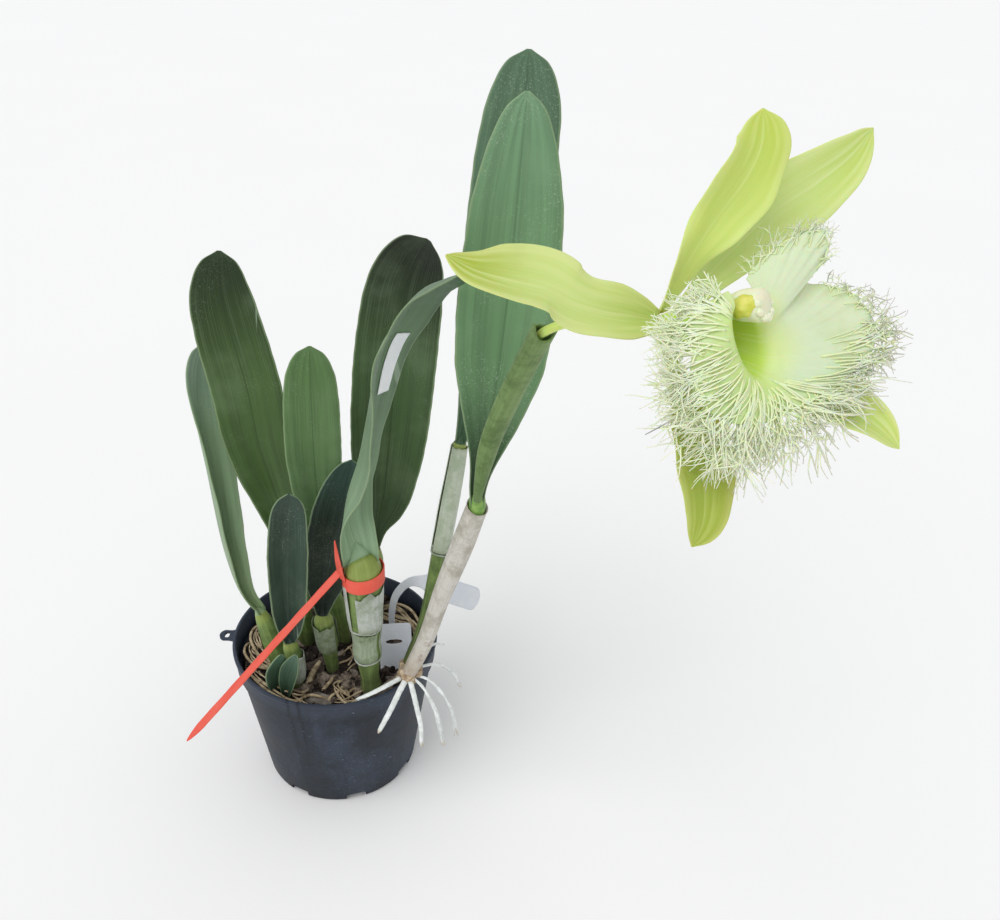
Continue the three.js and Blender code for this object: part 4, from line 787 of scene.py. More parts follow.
# noise at each point of such rings
def noiseOn(rings, scale, shift):
    values = [noise.noise(Vector(p) * scale + Vector(shift)) for p in rings.reshape(-1, 3)]
    return np.array(values).reshape(*rings.shape[:2], 1)


# a rough rounded knob
def knob(x, y, z, size, shift):
    ball = ballRings(22, 28)
    push, fine = noiseOn(ball, 1.7, (shift, 3, 1)), noiseOn(ball, 5, (shift, 9, 1))
    return ball * (size * (0.86 + 0.3 * push + 0.12 * fine)) + np.array([x, y, z])


def makeRoots():
    rng = random.Random(roots["seed"])
    shells = []
    for n, path in enumerate(rhizomePaths):
        sunk = [[x, y, z - roots["sunk"]] for x, y, z in path]
        radius = [(0, 3), (0.15, 3.8), (0.3, 3), (0.5, 4.2), (0.65, 3.2), (0.85, 3.6), (1, 2.4)]
        shells.append(stem(sunk, radius, 20, 130, knobbly(0.8, 19, n)))
    shells += [tubeShell(knob(*spot, n)) for n, spot in enumerate(knobs["rhizome"])]
    makePiece("rhizome", joinShells(shells), [finishes["rhizome"]], ["rhizome_roots"])
    shells = []
    for n, path in enumerate(dryRoots):
        shells.append(stem(path, [(0, 0.9), (0.7, 0.8), (1, 0.5)], 10, 60, knobbly(0.1, 9, n)))
        # thinner roots beside it
        for _ in range(roots["beside"]):
            shrinkX, shrinkY = 0.85 + 0.15 * rng.random(), 0.85 + 0.15 * rng.random()
            moved = [[x * shrinkX + 5 * (rng.random() - 0.5),
                      y * shrinkY + 5 * (rng.random() - 0.5),
                      z - 1.5 + 2.5 * rng.random()] for x, y, z in path]
            shells.append(stem(moved, [(0, 0.6), (1, 0.3)], 8, 50, knobbly(0.08, 7, n + 2)))
    for n, (path, thick) in enumerate(surfaceRoots):
        radius = [(0, thick), (0.5, thick * 0.85), (1, thick * 0.5)]
        shells.append(stem(path, radius, 12, 60, knobbly(0.16 * thick, 9, n + 5)))
    makePiece("dry_roots", joinShells(shells), [finishes["dryRoot"]])
    shells = [tubeShell(knob(*spot, n + 20)) for n, spot in enumerate(knobs["crown"])]
    makePiece("crown_knobs", joinShells(shells), [finishes["crown"]])
    shells = []
    for n, (path, thick) in enumerate(zip(freshRoots, freshRadii)):
        radius = [(0, thick), (0.5, thick * 0.92), (0.94, thick * 0.7), (1, 0.3)]
        shells.append(stem(path, radius, 14, 60, knobbly(0.12, 6, n)))
        # finer hair roots, most of them beside the outer ones
        for _ in range(4 if n in roots["outer"] else 1):
            moved = [[x + k * (rng.random() - 0.5), y + k * (rng.random() - 0.5),
                      z + 0.6 * k * (rng.random() - 0.6)] for k, (x, y, z) in enumerate(path)]
            shells.append(stem(moved, [(0, 0.45), (1, 0.14)], 6, 50, knobbly(0.08, 11, n)))
    makePiece("fresh_roots", joinShells(shells), [finishes["freshRoot"]],
              ["crown_roots"])


makeRoots()

print("stage: bulbs and leaves")

broadTip = [(0, 0.2), (0.14, 0.48), (0.28, 0.72), (0.42, 0.91), (0.58, 1), (0.75, 0.97),
            (0.86, 0.88), (0.93, 0.7), (0.975, 0.44), (1, 0.12)]
longTip = [(0, 0.3), (0.1, 0.5), (0.3, 0.88), (0.5, 1), (0.7, 0.97), (0.84, 0.8), (0.93, 0.56),
           (0.975, 0.34), (1, 0.1)]
shortTip = [(0, 0.3), (0.4, 0.95), (0.6, 1), (0.85, 0.6), (1, 0.14)]

growths = {
    "left_outer": dict(
        bulb=[[-31, -20, 86], [-36, -18, 106], [-43, -15, 128]],
        radius=[(0, 5), (0.35, 6.4), (0.75, 5.6), (1, 3.6)],
        path=[[-43.3, -14.8, 128.6], [-52.5, -14, 142], [-61, -9, 170], [-69.5, 5, 220],
              [-75, 16, 252], [-75.5, 23, 272], [-73, 30, 287]],
        face=[[0.8, -0.5, 0.3], [0.8, -0.55, 0.2], [0.8, -0.5, 0.2]],
        width=36, outline=longTip, fold=[(0, 60), (0.3, 66), (0.7, 56), (1, 12)], slot="leaf_grey"),
    "left_tall": dict(
        bulb=[[-20, 4, 86], [-21.5, 2, 116], [-23, 0, 142.5]],
        radius=[(0, 4.6), (0.4, 6.4), (0.85, 5.6), (1, 3.4)],
        path=[[-23, 0, 143], [-26, 2, 181], [-32, 5, 207], [-39, 8, 234], [-44, 13, 269],
              [-52, 19, 303], [-56, 24, 322], [-56, 30, 344]],
        face=[[0.3, -0.9, 0.2], [0.15, -1, 0.2], [0.1, -1, 0.1]],
        width=40, outline=broadTip, fold=[(0, 52), (0.2, 30), (0.6, 14), (1, 6)], slot="leaf_dark"),
    "middle": dict(
        bulb=[[4, 6, 86], [1, 0, 122], [-3, -6, 160]],
        radius=[(0, 4.4), (0.4, 5.8), (0.85, 5), (1, 3.2)],
        path=[[-3.1, -6.1, 160.6], [-4, -6, 201], [-5, -4, 234], [-5, -1, 268], [-5, 5, 301]],
        face=[[0.2, -1, 0.1], [0.1, -1, 0.1]],
        width=32, outline=broadTip, fold=[(0, 48), (0.25, 24), (1, 6)], slot="leaf_light"),
    "front_small": dict(
        bulb=[[-20, -35, 86], [-19.5, -35, 108], [-21, -37, 126]],
        radius=[(0, 4.2), (0.4, 5.4), (0.85, 4.8), (1, 3.2)],
        path=[[-21, -37, 126.6], [-20, -38, 159], [-18, -40, 189], [-15, -43, 216],
              [-11, -46, 238]],
        face=[[0.4, -0.9, 0.1], [0.35, -0.9, 0.1]], width=32,
        outline=[(0, 0.3), (0.12, 0.7), (0.3, 0.96), (0.6, 1), (0.8, 0.88), (0.92, 0.62),
                 (0.975, 0.36), (1, 0.1)],
        fold=[(0, 54), (0.3, 50), (0.8, 42), (1, 12)], slot="leaf_blue"),
    "blue": dict(
        bulb=[[1, -21, 86], [-1, -21, 110], [-3, -22, 135.6]],
        radius=[(0, 3.8), (0.3, 4.4), (0.6, 6.2), (0.88, 6), (1, 3.6)],
        path=[[-3, -22, 136.6], [0, -22, 161], [5, -21, 187], [11, -18, 213], [18, -14, 241]],
        face=[[0.1, -1, 0.1], [0.3, -0.95, 0.1]],
        width=34, outline=longTip, fold=[(0, 50), (0.3, 32), (1, 12)], slot="leaf_blue"),
    "back_tall": dict(
        bulb=[[19, 34, 86], [20.5, 35, 114], [22, 36, 142.5]],
        radius=[(0, 4.6), (0.4, 6.4), (0.85, 5.4), (1, 3.4)],
        path=[[22, 36, 143], [24, 36, 161], [28, 38, 180], [32, 39, 215], [35, 41, 248],
              [37, 43, 271], [40, 46, 298], [44, 49, 322], [50, 52, 337], [56, 55, 346]],
        face=[[0, -1, 0.1], [-0.1, -1, 0.1], [-0.15, -0.95, 0.3]], width=50,
        outline=[(0, 0.14), (0.08, 0.3), (0.15, 0.6), (0.24, 0.8), (0.45, 0.98), (0.6, 1),
                 (0.76, 0.97), (0.87, 0.88), (0.94, 0.7), (0.98, 0.44), (1, 0.14)],
        fold=[(0, 48), (0.2, 26), (0.6, 12), (1, 6)], slot="leaf_dark"),
    "front_arching": dict(
        bulb=[[28, -39, 86], [26.5, -39, 112], [26, -40, 147], [25.5, -40, 190]],
        radius=[(0, 4.8), (0.09, 6.4), (0.14, 5.6), (0.3, 7.2), (0.37, 8.2), (0.42, 7.6),
                (0.62, 9.4), (0.85, 10.4), (0.95, 10.6), (1, 9.4)],
        path=[[24.3, -38.6, 191.2], [23.7, -38.7, 196], [21, -39, 207], [18.5, -39, 219],
              [20, -38, 234], [26.5, -37, 256], [31, -37, 277], [35, -37, 297], [38, -38, 312],
              [43, -40, 327], [49, -43, 337.5], [56, -48, 350], [64, -58, 362], [75, -76, 374],
              [84, -88, 382.5], [95, -94, 394]],
        face=[[0.25, -1, 0], [0.75, -0.65, 0], [1, -0.1, 0], [1, -0.05, 0], [1, -0.15, 0],
              [0.93, -0.36, 0], [0.85, -0.5, -0.15], [0.65, -0.65, -0.35], [0.5, -0.75, -0.45],
              [0.4, -0.8, -0.5], [0.35, -0.8, -0.5]],
        width=40, outline=[(0, 0.6), (0.12, 0.76), (0.3, 0.96), (0.5, 1), (0.66, 0.84), (0.8, 0.5),
                           (0.92, 0.26), (1, 0.06)],
        fold=[(0, 34), (0.15, 38), (0.35, 26), (0.55, 24), (0.8, 26), (1, 20)], slot="leaf_grey"),
    "rear_tall": dict(
        bulb=[[50, -32, 108], [60, -29, 138], [71, -28, 206], [79, -20, 259]],
        radius=[(0, 3.6), (0.3, 4.4), (0.7, 4.6), (1, 3.6)],
        path=[[79.1, -19.9, 259.8], [88, -14, 294], [96, -6, 337], [100, 0, 372], [103, 6, 405],
              [106, 11, 433], [107, 16, 455]],
        face=[[0, -1, 0.1], [-0.1, -1, 0.1]],
        width=42, outline=broadTip, fold=[(0, 50), (0.25, 24), (1, 8)], slot="leaf_dark"),
    "flowering": dict(
        bulb=[[51, -42, 108], [61, -43, 135], [71, -47, 173], [81, -53, 209], [90, -59, 243]],
        radius=[(0, 4.2), (0.1, 4.8), (0.4, 5.2), (0.8, 6.3), (1, 5.8)],
        path=[[90, -59, 243.8], [90, -58, 256], [94, -57, 283], [98, -57, 317], [101, -59, 354],
              [103, -62, 388], [104.5, -66, 422], [106, -70, 453]],
        face=[[0.1, -1, 0.15], [0, -1, 0.1], [0.1, -1, 0]], width=47,
        outline=[(0, 0.2), (0.1, 0.3), (0.25, 0.66), (0.42, 0.96), (0.55, 1), (0.75, 0.89),
                 (0.88, 0.66), (0.95, 0.44), (0.98, 0.28), (1, 0.1)],
        fold=[(0, 50), (0.15, 40), (0.4, 20), (1, 12)], slot="leaf_light"),
}
youngLeaves = [
    dict(path=[[-29, -43.5, 87.4], [-29, -45, 106], [-24, -47, 124]],
         face=[[0.5, -0.8, 0.2]], width=15, outline=shortTip, fold=[(0, 40), (1, 8)]),
    dict(path=[[-23.6, -46.8, 87.4], [-20, -47.5, 109], [-14, -50, 127]],
         face=[[-0.3, -0.95, 0.1]], width=12, outline=shortTip, fold=[(0, 40), (1, 8)]),
]
foldRounding = 0.22
# the rounded top of a bulb and the heel of its leaf: shares of the length and of the top radius
bulbDome = ((0.4, 0.94), (0.7, 0.8), (0.9, 0.5), (1, 0.12))
heelShape = ((0, 0.9), (0.12, 0.98), (0.32, 0.86), (0.6, 0.55), (0.85, 0.24))
cane = dict(sides=48, steps=120, below=0.965, neck=[(0, 4.6), (0.5, 4.4), (0.85, 3.4), (1, 1.2)])


# upper and lower faces of a blade, folded about its rib and waved along its margins
def bladeGrids(spec, shares, across, thickness=1.8, edge=0.9, lift=0.0):
    centre, tangent = alongPath(spec["path"], shares)
    faces = unit(spec["face"])
    step = np.clip(shares, 0, 0.9999) * (len(faces) - 1)
    low = np.floor(step).astype(int)
    high = np.minimum(low + 1, len(faces) - 1)
    face = unit(faces[low] + (faces[high] - faces[low]) * (step - low)[:, None])
    out = unit(face - tangent * np.sum(face * tangent, axis=1, keepdims=True))
    sideways = np.cross(tangent, out)
    half = 0.5 * spec["width"] * eased(spec["outline"], shares)
    half = half * np.sqrt(np.clip(1 - np.clip((shares - 0.97) / 0.032, 0, 1) ** 2, 0, 1))
    angle = np.radians(eased(spec["fold"], shares))[:, None]
    rounded = np.sqrt(across ** 2 + foldRounding ** 2)
    slope = across / rounded
    height, count, phase, shift = spec.get("wave", (0, 1, 0, 0))
    turn = 2 * math.pi * count * shares[:, None] + phase + np.where(across > 0, shift, 0)
    ripple = height * np.sin(math.pi * shares[:, None]) * across ** 2 * np.sin(turn)
    size, count, phase = spec.get("frill", (0, 1, 0))
    turn = 2 * math.pi * count * shares[:, None] + phase + np.where(across > 0, 2.1, 0)
    ripple = ripple + size * np.abs(across) ** 3 * np.sin(turn) * np.sin(math.pi * shares[:, None])
    nicks = spec.get("nicks", 0) * np.sin(31 * shares + phase) * np.sin(83 * shares)
    half = half[:, None] * (1 + nicks)[:, None]
    full = 0.5 * (thickness + (edge - thickness) * np.abs(across))
    halfThick = np.minimum(full[None], 0.32 + 0.08 * half)
    grids = []
    for side in (1, -1):
        upright = halfThick * side + (lift if side > 0 else 0)
        aside = half * across * np.cos(angle) - upright * slope * np.sin(angle)
        up = half * (rounded - foldRounding) * np.sin(angle) + ripple
        up = up + upright * np.sqrt(1 - (slope * np.sin(angle)) ** 2)
        grids.append(centre[:, None] + sideways[:, None] * aside[..., None]
                     + out[:, None] * up[..., None])
    return grids


def makeBlade(name, spec, materials, slot, replaces, rows=76, columns=25, **shape):
    shares = 1 - (1 - np.linspace(0, 1, rows)) ** 1.6
    upper, lower = bladeGrids(spec, shares, np.linspace(-1, 1, columns), **shape)
    *skin, sides = sheetShell(upper, lower, shares)
    makePiece(name, skin, materials, [replaces], sides)


# lengthwise furrows that fade out at the foot and before the top
def furrowed(depth, count):
    def swell(shares, angles):
        foot = np.sin(math.pi * np.clip(shares, 0, 1)) ** 0.5
        ends = foot * np.clip((0.86 - shares) / 0.2, 0, 1)
        uneven = 0.6 + 0.4 * np.sin(2 * angles + 9 * shares)
        return depth * ends * np.sin(count * angles + 1.5 * shares) * uneven
    return swell


# a bulb runs up into the fold of its leaf
def makeBulb(name, growth):
    leafStart, leafWay = alongPath(growth["path"], np.array([0.0]))
    top = growth["radius"][-1][1]
    path = growth["bulb"] + [(leafStart[0] + 0.15 * top * leafWay[0]).tolist()]
    run = np.linalg.norm(np.diff(np.array(path), axis=0), axis=1)
    share = run[:-1].sum() / run.sum()
    radius = [(place * share, reach) for place, reach in growth["radius"]]
    radius += [(share + part * (1 - share), top * wide) for part, wide in bulbDome]
    makePiece("pseudobulb_" + name, stem(path, radius, 36, 90, furrowed(0.25, 9)),
              [finishes["bulb"]], ["bulb_" + name])


# the cane is an open papery tube with a slanted, slightly flared mouth and a green neck inside
def makeCane(growth):
    bulb, sides = growth["bulb"], cane["sides"]
    rings = stemRings(bulb, growth["radius"], sides, cane["steps"], furrowed(0.16, 5))
    (centre,), (way,) = alongPath(bulb, np.array([1.0]))
    mouth = rings[-1] - centre
    slant = 1.2 * np.sin(turnAngles(sides) + 1.0)[:, None] * way
    ending = [centre + mouth * 1.05 + slant + 0.9 * way, centre + mouth * 0.97 + slant + 1.1 * way,
              centre + mouth * 0.9 - 4 * way, centre + mouth * 0.5 - 6 * way]
    rings = np.concatenate([rings, np.array(ending)])
    makePiece("papery_cane", tubeShell(rings), [finishes["cane"]], ["cane_flowering"])
    below, _ = alongPath(bulb, np.array([cane["below"]]))
    leafStart, _ = alongPath(growth["path"], np.array([0.0, 0.05]))
    path = [*below.tolist(), *leafStart.tolist()]
    makePiece("green_neck", stem(path, cane["neck"], 28, 30), [finishes["neck"]])


# the thick heel of a leaf, which stands on its bulb
def makeHeel(name, growth):
    top = growth["radius"][-1][1]
    length = np.linalg.norm(np.diff(np.array(growth["path"]), axis=0), axis=1).sum()
    below, _ = alongPath(growth["bulb"], np.array([0.985]))
    rib, _ = alongPath(growth["path"], np.array([0.0, 0.6, 1.4]) * top / length)
    radius = [(place, wide * top) for place, wide in heelShape] + [(1, 0.2)]
    *skin, corners = stem([*below.tolist(), *rib.tolist()], radius, 40, 40)
    # the heel takes its colours from the foot of the leaf
    corners = corners * [0.4, 0.08] + [0.3, 0.0]
    makePiece("leaf_heel_" + name, (*skin, corners), [leafMaterials[name][0]])


for number, (name, growth) in enumerate(growths.items()):
    growth["frill"] = (0.4, 5 + number % 3, number)
    growth["nicks"] = 0.008
    if name == "flowering":
        makeCane(growth)
    else:
        makeBulb(name, growth)
        makeHeel(name, growth)
    makeBlade("foliage_" + name, growth, leafMaterials[name], growth["slot"], "leaf_" + name)
for number, spec in enumerate(youngLeaves):
    makeBlade(f"young_foliage_{number + 1}", spec, leafMaterials["young"], "leaf_blue",
              f"leaf_young_{number + 1}", rows=36, columns=13)

print("stage: papery bracts")

bractSamples = 400


# centres and directions along a bulb, one for each sample
def bulbFrames(growth):
    centres, tangents = alongPath(growth["bulb"], np.linspace(0, 1, bractSamples))
    return centres, tangents, *ringFrames(tangents)


def ringNoise(turns, radius, height):
    return np.array([noise.noise(Vector((radius * math.cos(t), radius * math.sin(t), height)))
                     for t in turns])


# a torn papery wrap round part of a bulb, open by a gap at one side
def makeBract(name, growth, start, stop, gap, turn, finish, replaces=(), torn=0.03, stand=0.75,
              flare=0.5):
    shares = np.linspace(0, 1, 40)
    turns = np.linspace(gap / 2, 2 * math.pi - gap / 2, 150)
    seed = len(name)
    lowEdge, highEdge = [ringNoise(turns, 1.6, height) + 0.35 * ringNoise(turns, 5, height)
                         for height in (seed, seed + 9)]
    low, high = start + 0.4 * torn * lowEdge, stop + torn * highEdge
    where = low[None] + (high - low)[None] * shares[:, None]
    centres, _, normals, binormals = bulbFrames(growth)
    last = bractSamples - 1
    at = np.clip((where * last).round().astype(int), 0, last)
    wrinkle = np.array([ringNoise(turns, 1.8, 2.5 * p + seed) for p in shares])
    reach = eased(growth["radius"], where) + stand + 0.35 * wrinkle + flare * shares[:, None] ** 3
    around, aside = np.cos(turns + turn)[None, :, None], np.sin(turns + turn)[None, :, None]
    outward = normals[at] * around + binormals[at] * aside
    outer, inner = [centres[at] + outward * (reach + more)[..., None] for more in (0.28, 0.0)]
    makePiece(name, sheetShell(outer, inner, bulge=0.2), [finishes[finish]], replaces)


# the thin raised line where a bract was joined to its bulb
def makeNode(name, growth, share, finish):
    at = int(share * (bractSamples - 1))
    centre, tangent, normal, binormal = [values[at] for values in bulbFrames(growth)]
    angles = np.linspace(0, 2 * math.pi, 61)[:, None]
    reach = float(eased(growth["radius"], share)) + 0.5
    ring = (centre + reach * np.cos(angles) * normal + reach * np.sin(angles) * binormal
            + 0.35 * np.sin(3 * angles + share * 9) * tangent)
    makePiece(name, stem(ring.tolist(), [(0, 0.55), (1, 0.55)], 8, 120), [finishes[finish]])


arching, rear = growths["front_arching"], growths["rear_tall"]
makeBract("silver_bract_arching", arching, 0.565, 0.84, 0.5, 2.6, "bract", ["bract_front_arching"],
          torn=0.05)
makeBract("green_bract_arching", arching, 0.32, 0.545, 0.3, 4.2, "greenBract", torn=0.02, stand=0.4,
          flare=0.2)
makeNode("upper_node_arching", arching, 0.556, "bract")
makeNode("lower_node_arching", arching, 0.312, "bract")
makeBract("silver_bract_blue", growths["blue"], 0.42, 0.86, 0.9, 4.6, "greenBract", ["bract_blue"],
          torn=0.07)
makeBract("white_bract_small", growths["front_small"], 0.2, 0.68, 1.8, 2.0, "bract",
          ["bract_front_small"], torn=0.09)
makeBract("stem_sheath_rear", rear, 0.565, 0.985, 0.4, 2.0, "rearBract", torn=0.006, stand=0.7,
          flare=0.1)
makeNode("stem_node_rear", rear, 0.556, "bract")

print("stage: flower")

hub = np.array([159, -150, 389.0])
forward = unit([0.717, -0.468, 0.517])
leaning = np.array([-0.264, 0.504, 0.822])
upward = unit(leaning - forward * np.dot(leaning, forward))
leftward = np.cross(forward, upward)


# points given as (up, left, forward) from the flower's hub
def inFlower(points):
    points = np.asarray(points, float)
    return hub + points[..., :1] * upward + points[..., 1:2] * leftward + points[..., 2:] * forward


def flowerWays(ways):
    return (inFlower(ways) - hub).tolist()


sheathPath = [[90.2, -63.8, 251], [91.6, -67, 264], [96, -73, 291], [105, -84, 324],
              [112, -94, 347], [116.5, -102, 362]]
stalkPath = [[94.1, -70.4, 280], [96, -73, 291], [105, -84, 324], [112, -94, 347],
             [116.5, -102, 362],
             *inFlower([[9.5, -4, -24], [5, -2, -13.4], [0.4, 0, -3.8]]).tolist()]
tepalOutline = [(0, 0.2), (0.12, 0.34), (0.3, 0.72), (0.5, 0.96), (0.65, 1), (0.82, 0.78),
                (0.94, 0.4), (1, 0.05)]
tepals = {
    "petal_left": dict(
        path=[[1.5, 4.3, 0.4], [4.5, 16, -3], [8, 28, -7], [12.5, 37, -11], [18.5, 44, -15],
              [23.5, 55, -21], [29, 65, -27], [36, 72, -32]],
        face=[[0, 0.1, 1], [0.3, 0.35, 0.9], [0.45, 0.3, 0.85], [0.3, 0.5, 0.8]], width=31,
        outline=[(0, 0.25), (0.1, 0.55), (0.2, 0.75), (0.33, 0.82), (0.46, 0.92), (0.6, 1),
                 (0.75, 0.86), (0.88, 0.5), (1, 0.05)],
        fold=[(0, 30), (0.4, 18), (0.8, 24), (1, 8)], wave=(1.2, 1.7, 0.4, 1.4),
        finish="palePetal"),
    "sepal_dorsal": dict(
        path=[[5, -0.6, -1.2], [12, -1.2, 6], [22, -4.2, 15.5], [33, -11, 25], [43, -16, 36],
              [53, -19, 43], [64, -18, 47]],
        face=[[0, 0, 1], [-0.5, 0.45, 0.75], [-0.4, 0.5, 0.75], [-0.5, 0.5, 0.75]], width=26,
        outline=[(0, 0.22), (0.15, 0.4), (0.32, 0.6), (0.5, 0.84), (0.68, 1), (0.84, 0.96),
                 (0.94, 0.62), (1, 0.08)],
        fold=[(0, 30), (0.5, 18), (1, 12)], wave=(2.6, 1.4, 1.2, 2), finish="petal"),
    "petal_right": dict(
        path=[[2, -4.7, 0.2], [7.6, -12, 5], [18, -21.5, 15], [32, -38, 32], [39, -49, 46],
              [46, -58, 58], [54, -65, 66]],
        face=[[0, 0, 1], [-0.4, 0.5, 0.75], [-0.4, 0.5, 0.75]], width=29,
        outline=tepalOutline, fold=[(0, 30), (0.5, 10), (1, 14)], wave=(1.2, 1.3, 0, 1),
        finish="farPetal"),
    "sepal_right": dict(
        path=[[-4.8, -3, -1.4], [-14, -9, 7], [-26, -20, 19], [-37, -30, 36], [-45, -35, 45],
              [-53, -39, 52], [-63, -43, 57]],
        face=[[0, 0, 1], [0.55, 0.35, 0.75], [0.5, 0.4, 0.7]], width=29,
        outline=tepalOutline, fold=[(0, 30), (0.6, 16), (1, 22)], finish="farPetal"),
    "sepal_left": dict(
        path=[[-4.8, 2.7, -1.4], [-14, 5, 1], [-25, 8, 5], [-45, 14, 10], [-61, 19, 12],
              [-71, 23, 11], [-78, 28, 8]],
        face=[[0, 0, 1], [0.15, 0.2, 1], [0.1, 0.3, 1]], width=27,
        outline=tepalOutline, fold=[(0, 30), (0.6, 14), (1, 12)], finish="warmPetal"),
}


def makeSheathAndStalk():
    sides, steps = 44, 70
    shares = np.linspace(0, 1, steps)
    centres, tangents = alongPath(sheathPath, shares)
    face = np.array([0.35, -0.75, 0.55])
    out = unit(face - tangents * (tangents @ face)[:, None])
    sideways = np.cross(tangents, out)
    angles = turnAngles(sides)
    skins = []
    for wall in (0.0, 0.7):
        wide = eased([(0, 2.1), (0.12, 3.4), (0.3, 5.2), (0.6, 6), (1, 6)], shares) - wall
        deep = eased([(0, 2), (0.15, 3), (0.3, 3.4), (1, 4.2)], shares) - wall
        keel = 1 + 0.22 * np.maximum(np.cos(angles + math.pi / 2), 0) ** 8
        ring = (centres[:, None] + sideways[:, None] * (wide[:, None] * np.cos(angles))[..., None]
                + out[:, None] * (deep[:, None] * np.sin(angles) * keel)[..., None])
        # two points at the open end
        rise = np.clip((shares - 0.86) / 0.14, 0, 1) ** 2
        points = rise[:, None] * 7 * np.abs(np.cos(angles)) ** 3
        ring = ring + tangents[:, None] * points[..., None]
        skins.append(ring)
    rings = np.concatenate([skins[0], skins[1][::-1][:-3]])
    makePiece("dry_sheath", tubeShell(rings), [finishes["spathe"]], ["flower_sheath"])
    radius = [(0, 1.9), (0.66, 1.9), (0.8, 2.6), (0.94, 3.4), (1, 3.8)]
    makePiece("stalk_and_ovary", stem(stalkPath, radius, 24, 90, furrowed(0.22, 6)),
              [finishes["petal"]], ["flower_stalk"])


makeSheathAndStalk()
for number, (name, tepal) in enumerate(tepals.items()):
    spec = dict(tepal, path=inFlower(tepal["path"]).tolist(), face=flowerWays(tepal["face"]),
                frill=(0.5, 4, number))
    makeBlade("bloom_" + name, spec, [finishes[tepal["finish"]]] * 2, "tepal", name, rows=64,
              columns=27, thickness=1.1, edge=0.5)

print("stage: lip and fringe")

lipMargin = [
    [3.6, 9, 32], [1, 15, 26], [-5.1, 21, 21.5], [-17, 26.1, 21.5], [-31, 26, 23.2],
    [-40.2, 18.4, 27.2], [-42.8, 5.9, 32.1], [-40.3, -9.5, 38.8], [-36.4, -24.6, 46.5],
    [-28.5, -40.5, 53.7], [-17.7, -50.2, 55.5], [-5.4, -52, 51.5], [0.6, -45.7, 44.5],
    [4.8, -37.2, 38.6], [10.6, -41.6, 45.8], [20.4, -43, 49], [20.4, -33.6, 41.6],
    [15.5, -23.5, 33.4], [8.6, -14.6, 27.9],
]
lip = dict(
    footRadius=5.4, footForward=3, up=-12, left=1, high=14, wide=9.5, forward=31, share=0.3,
    thickness=0.8, folds=8,
    turn=[(0, 52), (0.06, 66), (0.11, 80), (0.17, 104), (0.22, 126), (0.28, 146), (0.33, 168),
          (0.39, 190), (0.44, 210), (0.5, 228), (0.56, 243), (0.61, 255), (0.67, 264), (0.72, 272),
          (0.78, 280), (0.83, 289), (0.89, 298), (0.94, 306), (1, 314)],
    rollOut=[(0, 1), (0.2, 5), (0.4, 7), (1, 5)],
    rollForward=[(0, 5), (0.15, 5), (0.4, 5), (0.6, 8), (1, 4)],
    height=[(0, 1.3), (0.5, 1.2), (0.6, 0.7), (1, 0.7)])
# bands: margin from and to, hairs, and how far out they are rooted, from and to
fringe = dict(
    seed=29, curl=0.22, lively=(0.54, 0.69), farSide=0.35, thick=0.38, thin=0.24,
    stray=[[-31, 26, 23.2], [-34.4, 32.4, 14.8], [-35.9, 35.7, 11.2], [-37.3, 39.2, 7.3]],
    length=[(0, 7), (0.08, 12), (0.2, 18), (0.3, 24), (0.42, 22), (0.5, 16), (0.6, 11), (0.68, 8),
            (0.76, 6), (0.84, 7), (0.92, 9), (1, 8)],
    grey=[(0, 0), (0.25, 0.05), (0.35, 0.3), (0.48, 0.35), (0.55, 0.6), (0.68, 0.6), (0.76, 0.1),
          (0.85, 0.4), (1, 0)],
    bands=[(0.03, 0.44, 270, 0.42, 0.98), (0.42, 0.56, 60, 0.74, 1), (0.54, 0.67, 38, 0.92, 1),
           (0.76, 0.975, 60, 0.9, 1)])


# the lip's margin, spread evenly over its control points
def marginPoints(rounds):
    count = len(lipMargin) - 1
    place = np.clip(np.asarray(rounds, float), 0, 1) * count
    i = np.minimum(place.astype(int), count - 1)
    return splinePoint(lipMargin, i, place - i)


# points of the lip: round from 0 to 1 along the margin, out from 0 at its foot to 1 at the margin
def lipPoints(rounds, outs):
    rounds, outs = np.broadcast_arrays(np.asarray(rounds, float), np.asarray(outs, float))
    angle = np.radians(eased(lip["turn"], rounds))

    def oval(extra, ahead):
        up = lip["up"] + (lip["high"] + extra) * np.cos(angle)
        left = lip["left"] + (lip["wide"] + extra) * np.sin(angle)
        return np.stack([up, left, ahead + 0 * angle], -1)

    radius = lip["footRadius"]
    base = lip["footForward"] + 0 * angle
    foot = np.stack([radius * np.cos(angle), radius * np.sin(angle), base], -1)
    throat = oval(0, lip["forward"])
    ahead = lip["forward"] + eased(lip["rollForward"], rounds)
    flare = oval(eased(lip["rollOut"], rounds), ahead)
    inner = np.clip(outs / lip["share"], 0, 1)[..., None]
    s = np.clip((outs - lip["share"]) / (1 - lip["share"]), 0, 1)[..., None]
    tube = foot + (throat - foot) * inner
    bell = throat * (1 - s) ** 2 + flare * 2 * s * (1 - s) + marginPoints(rounds) * s * s
    points = np.where(outs[..., None] < lip["share"], tube, bell)
    wave = np.sin(2 * math.pi * lip["folds"] * rounds)[..., None]
    ruffle = eased(lip["height"], rounds)[..., None] * s ** 3 * wave
    frill = 0.5 * s ** 4 * np.sin(2 * math.pi * 31 * rounds + 2)[..., None]
    return points + np.concatenate([0 * s, 0 * s, ruffle + frill], -1)


def makeLip():
    rows, columns = 70, 280
    outs = np.linspace(0, 1, rows)[:, None]
    rounds = np.linspace(0, 1, columns)[None]
    sheet = lipPoints(rounds, outs)
    normal = unit(np.cross(np.gradient(sheet, axis=1), np.gradient(sheet, axis=0)))
    half = 0.5 * lip["thickness"] * (1 - 0.5 * outs[..., None])
    skin = sheetShell(inFlower(sheet + normal * half), inFlower(sheet - normal * half))
    makePiece("lip_trumpet", skin, [finishes["lip"]], ["lip"])


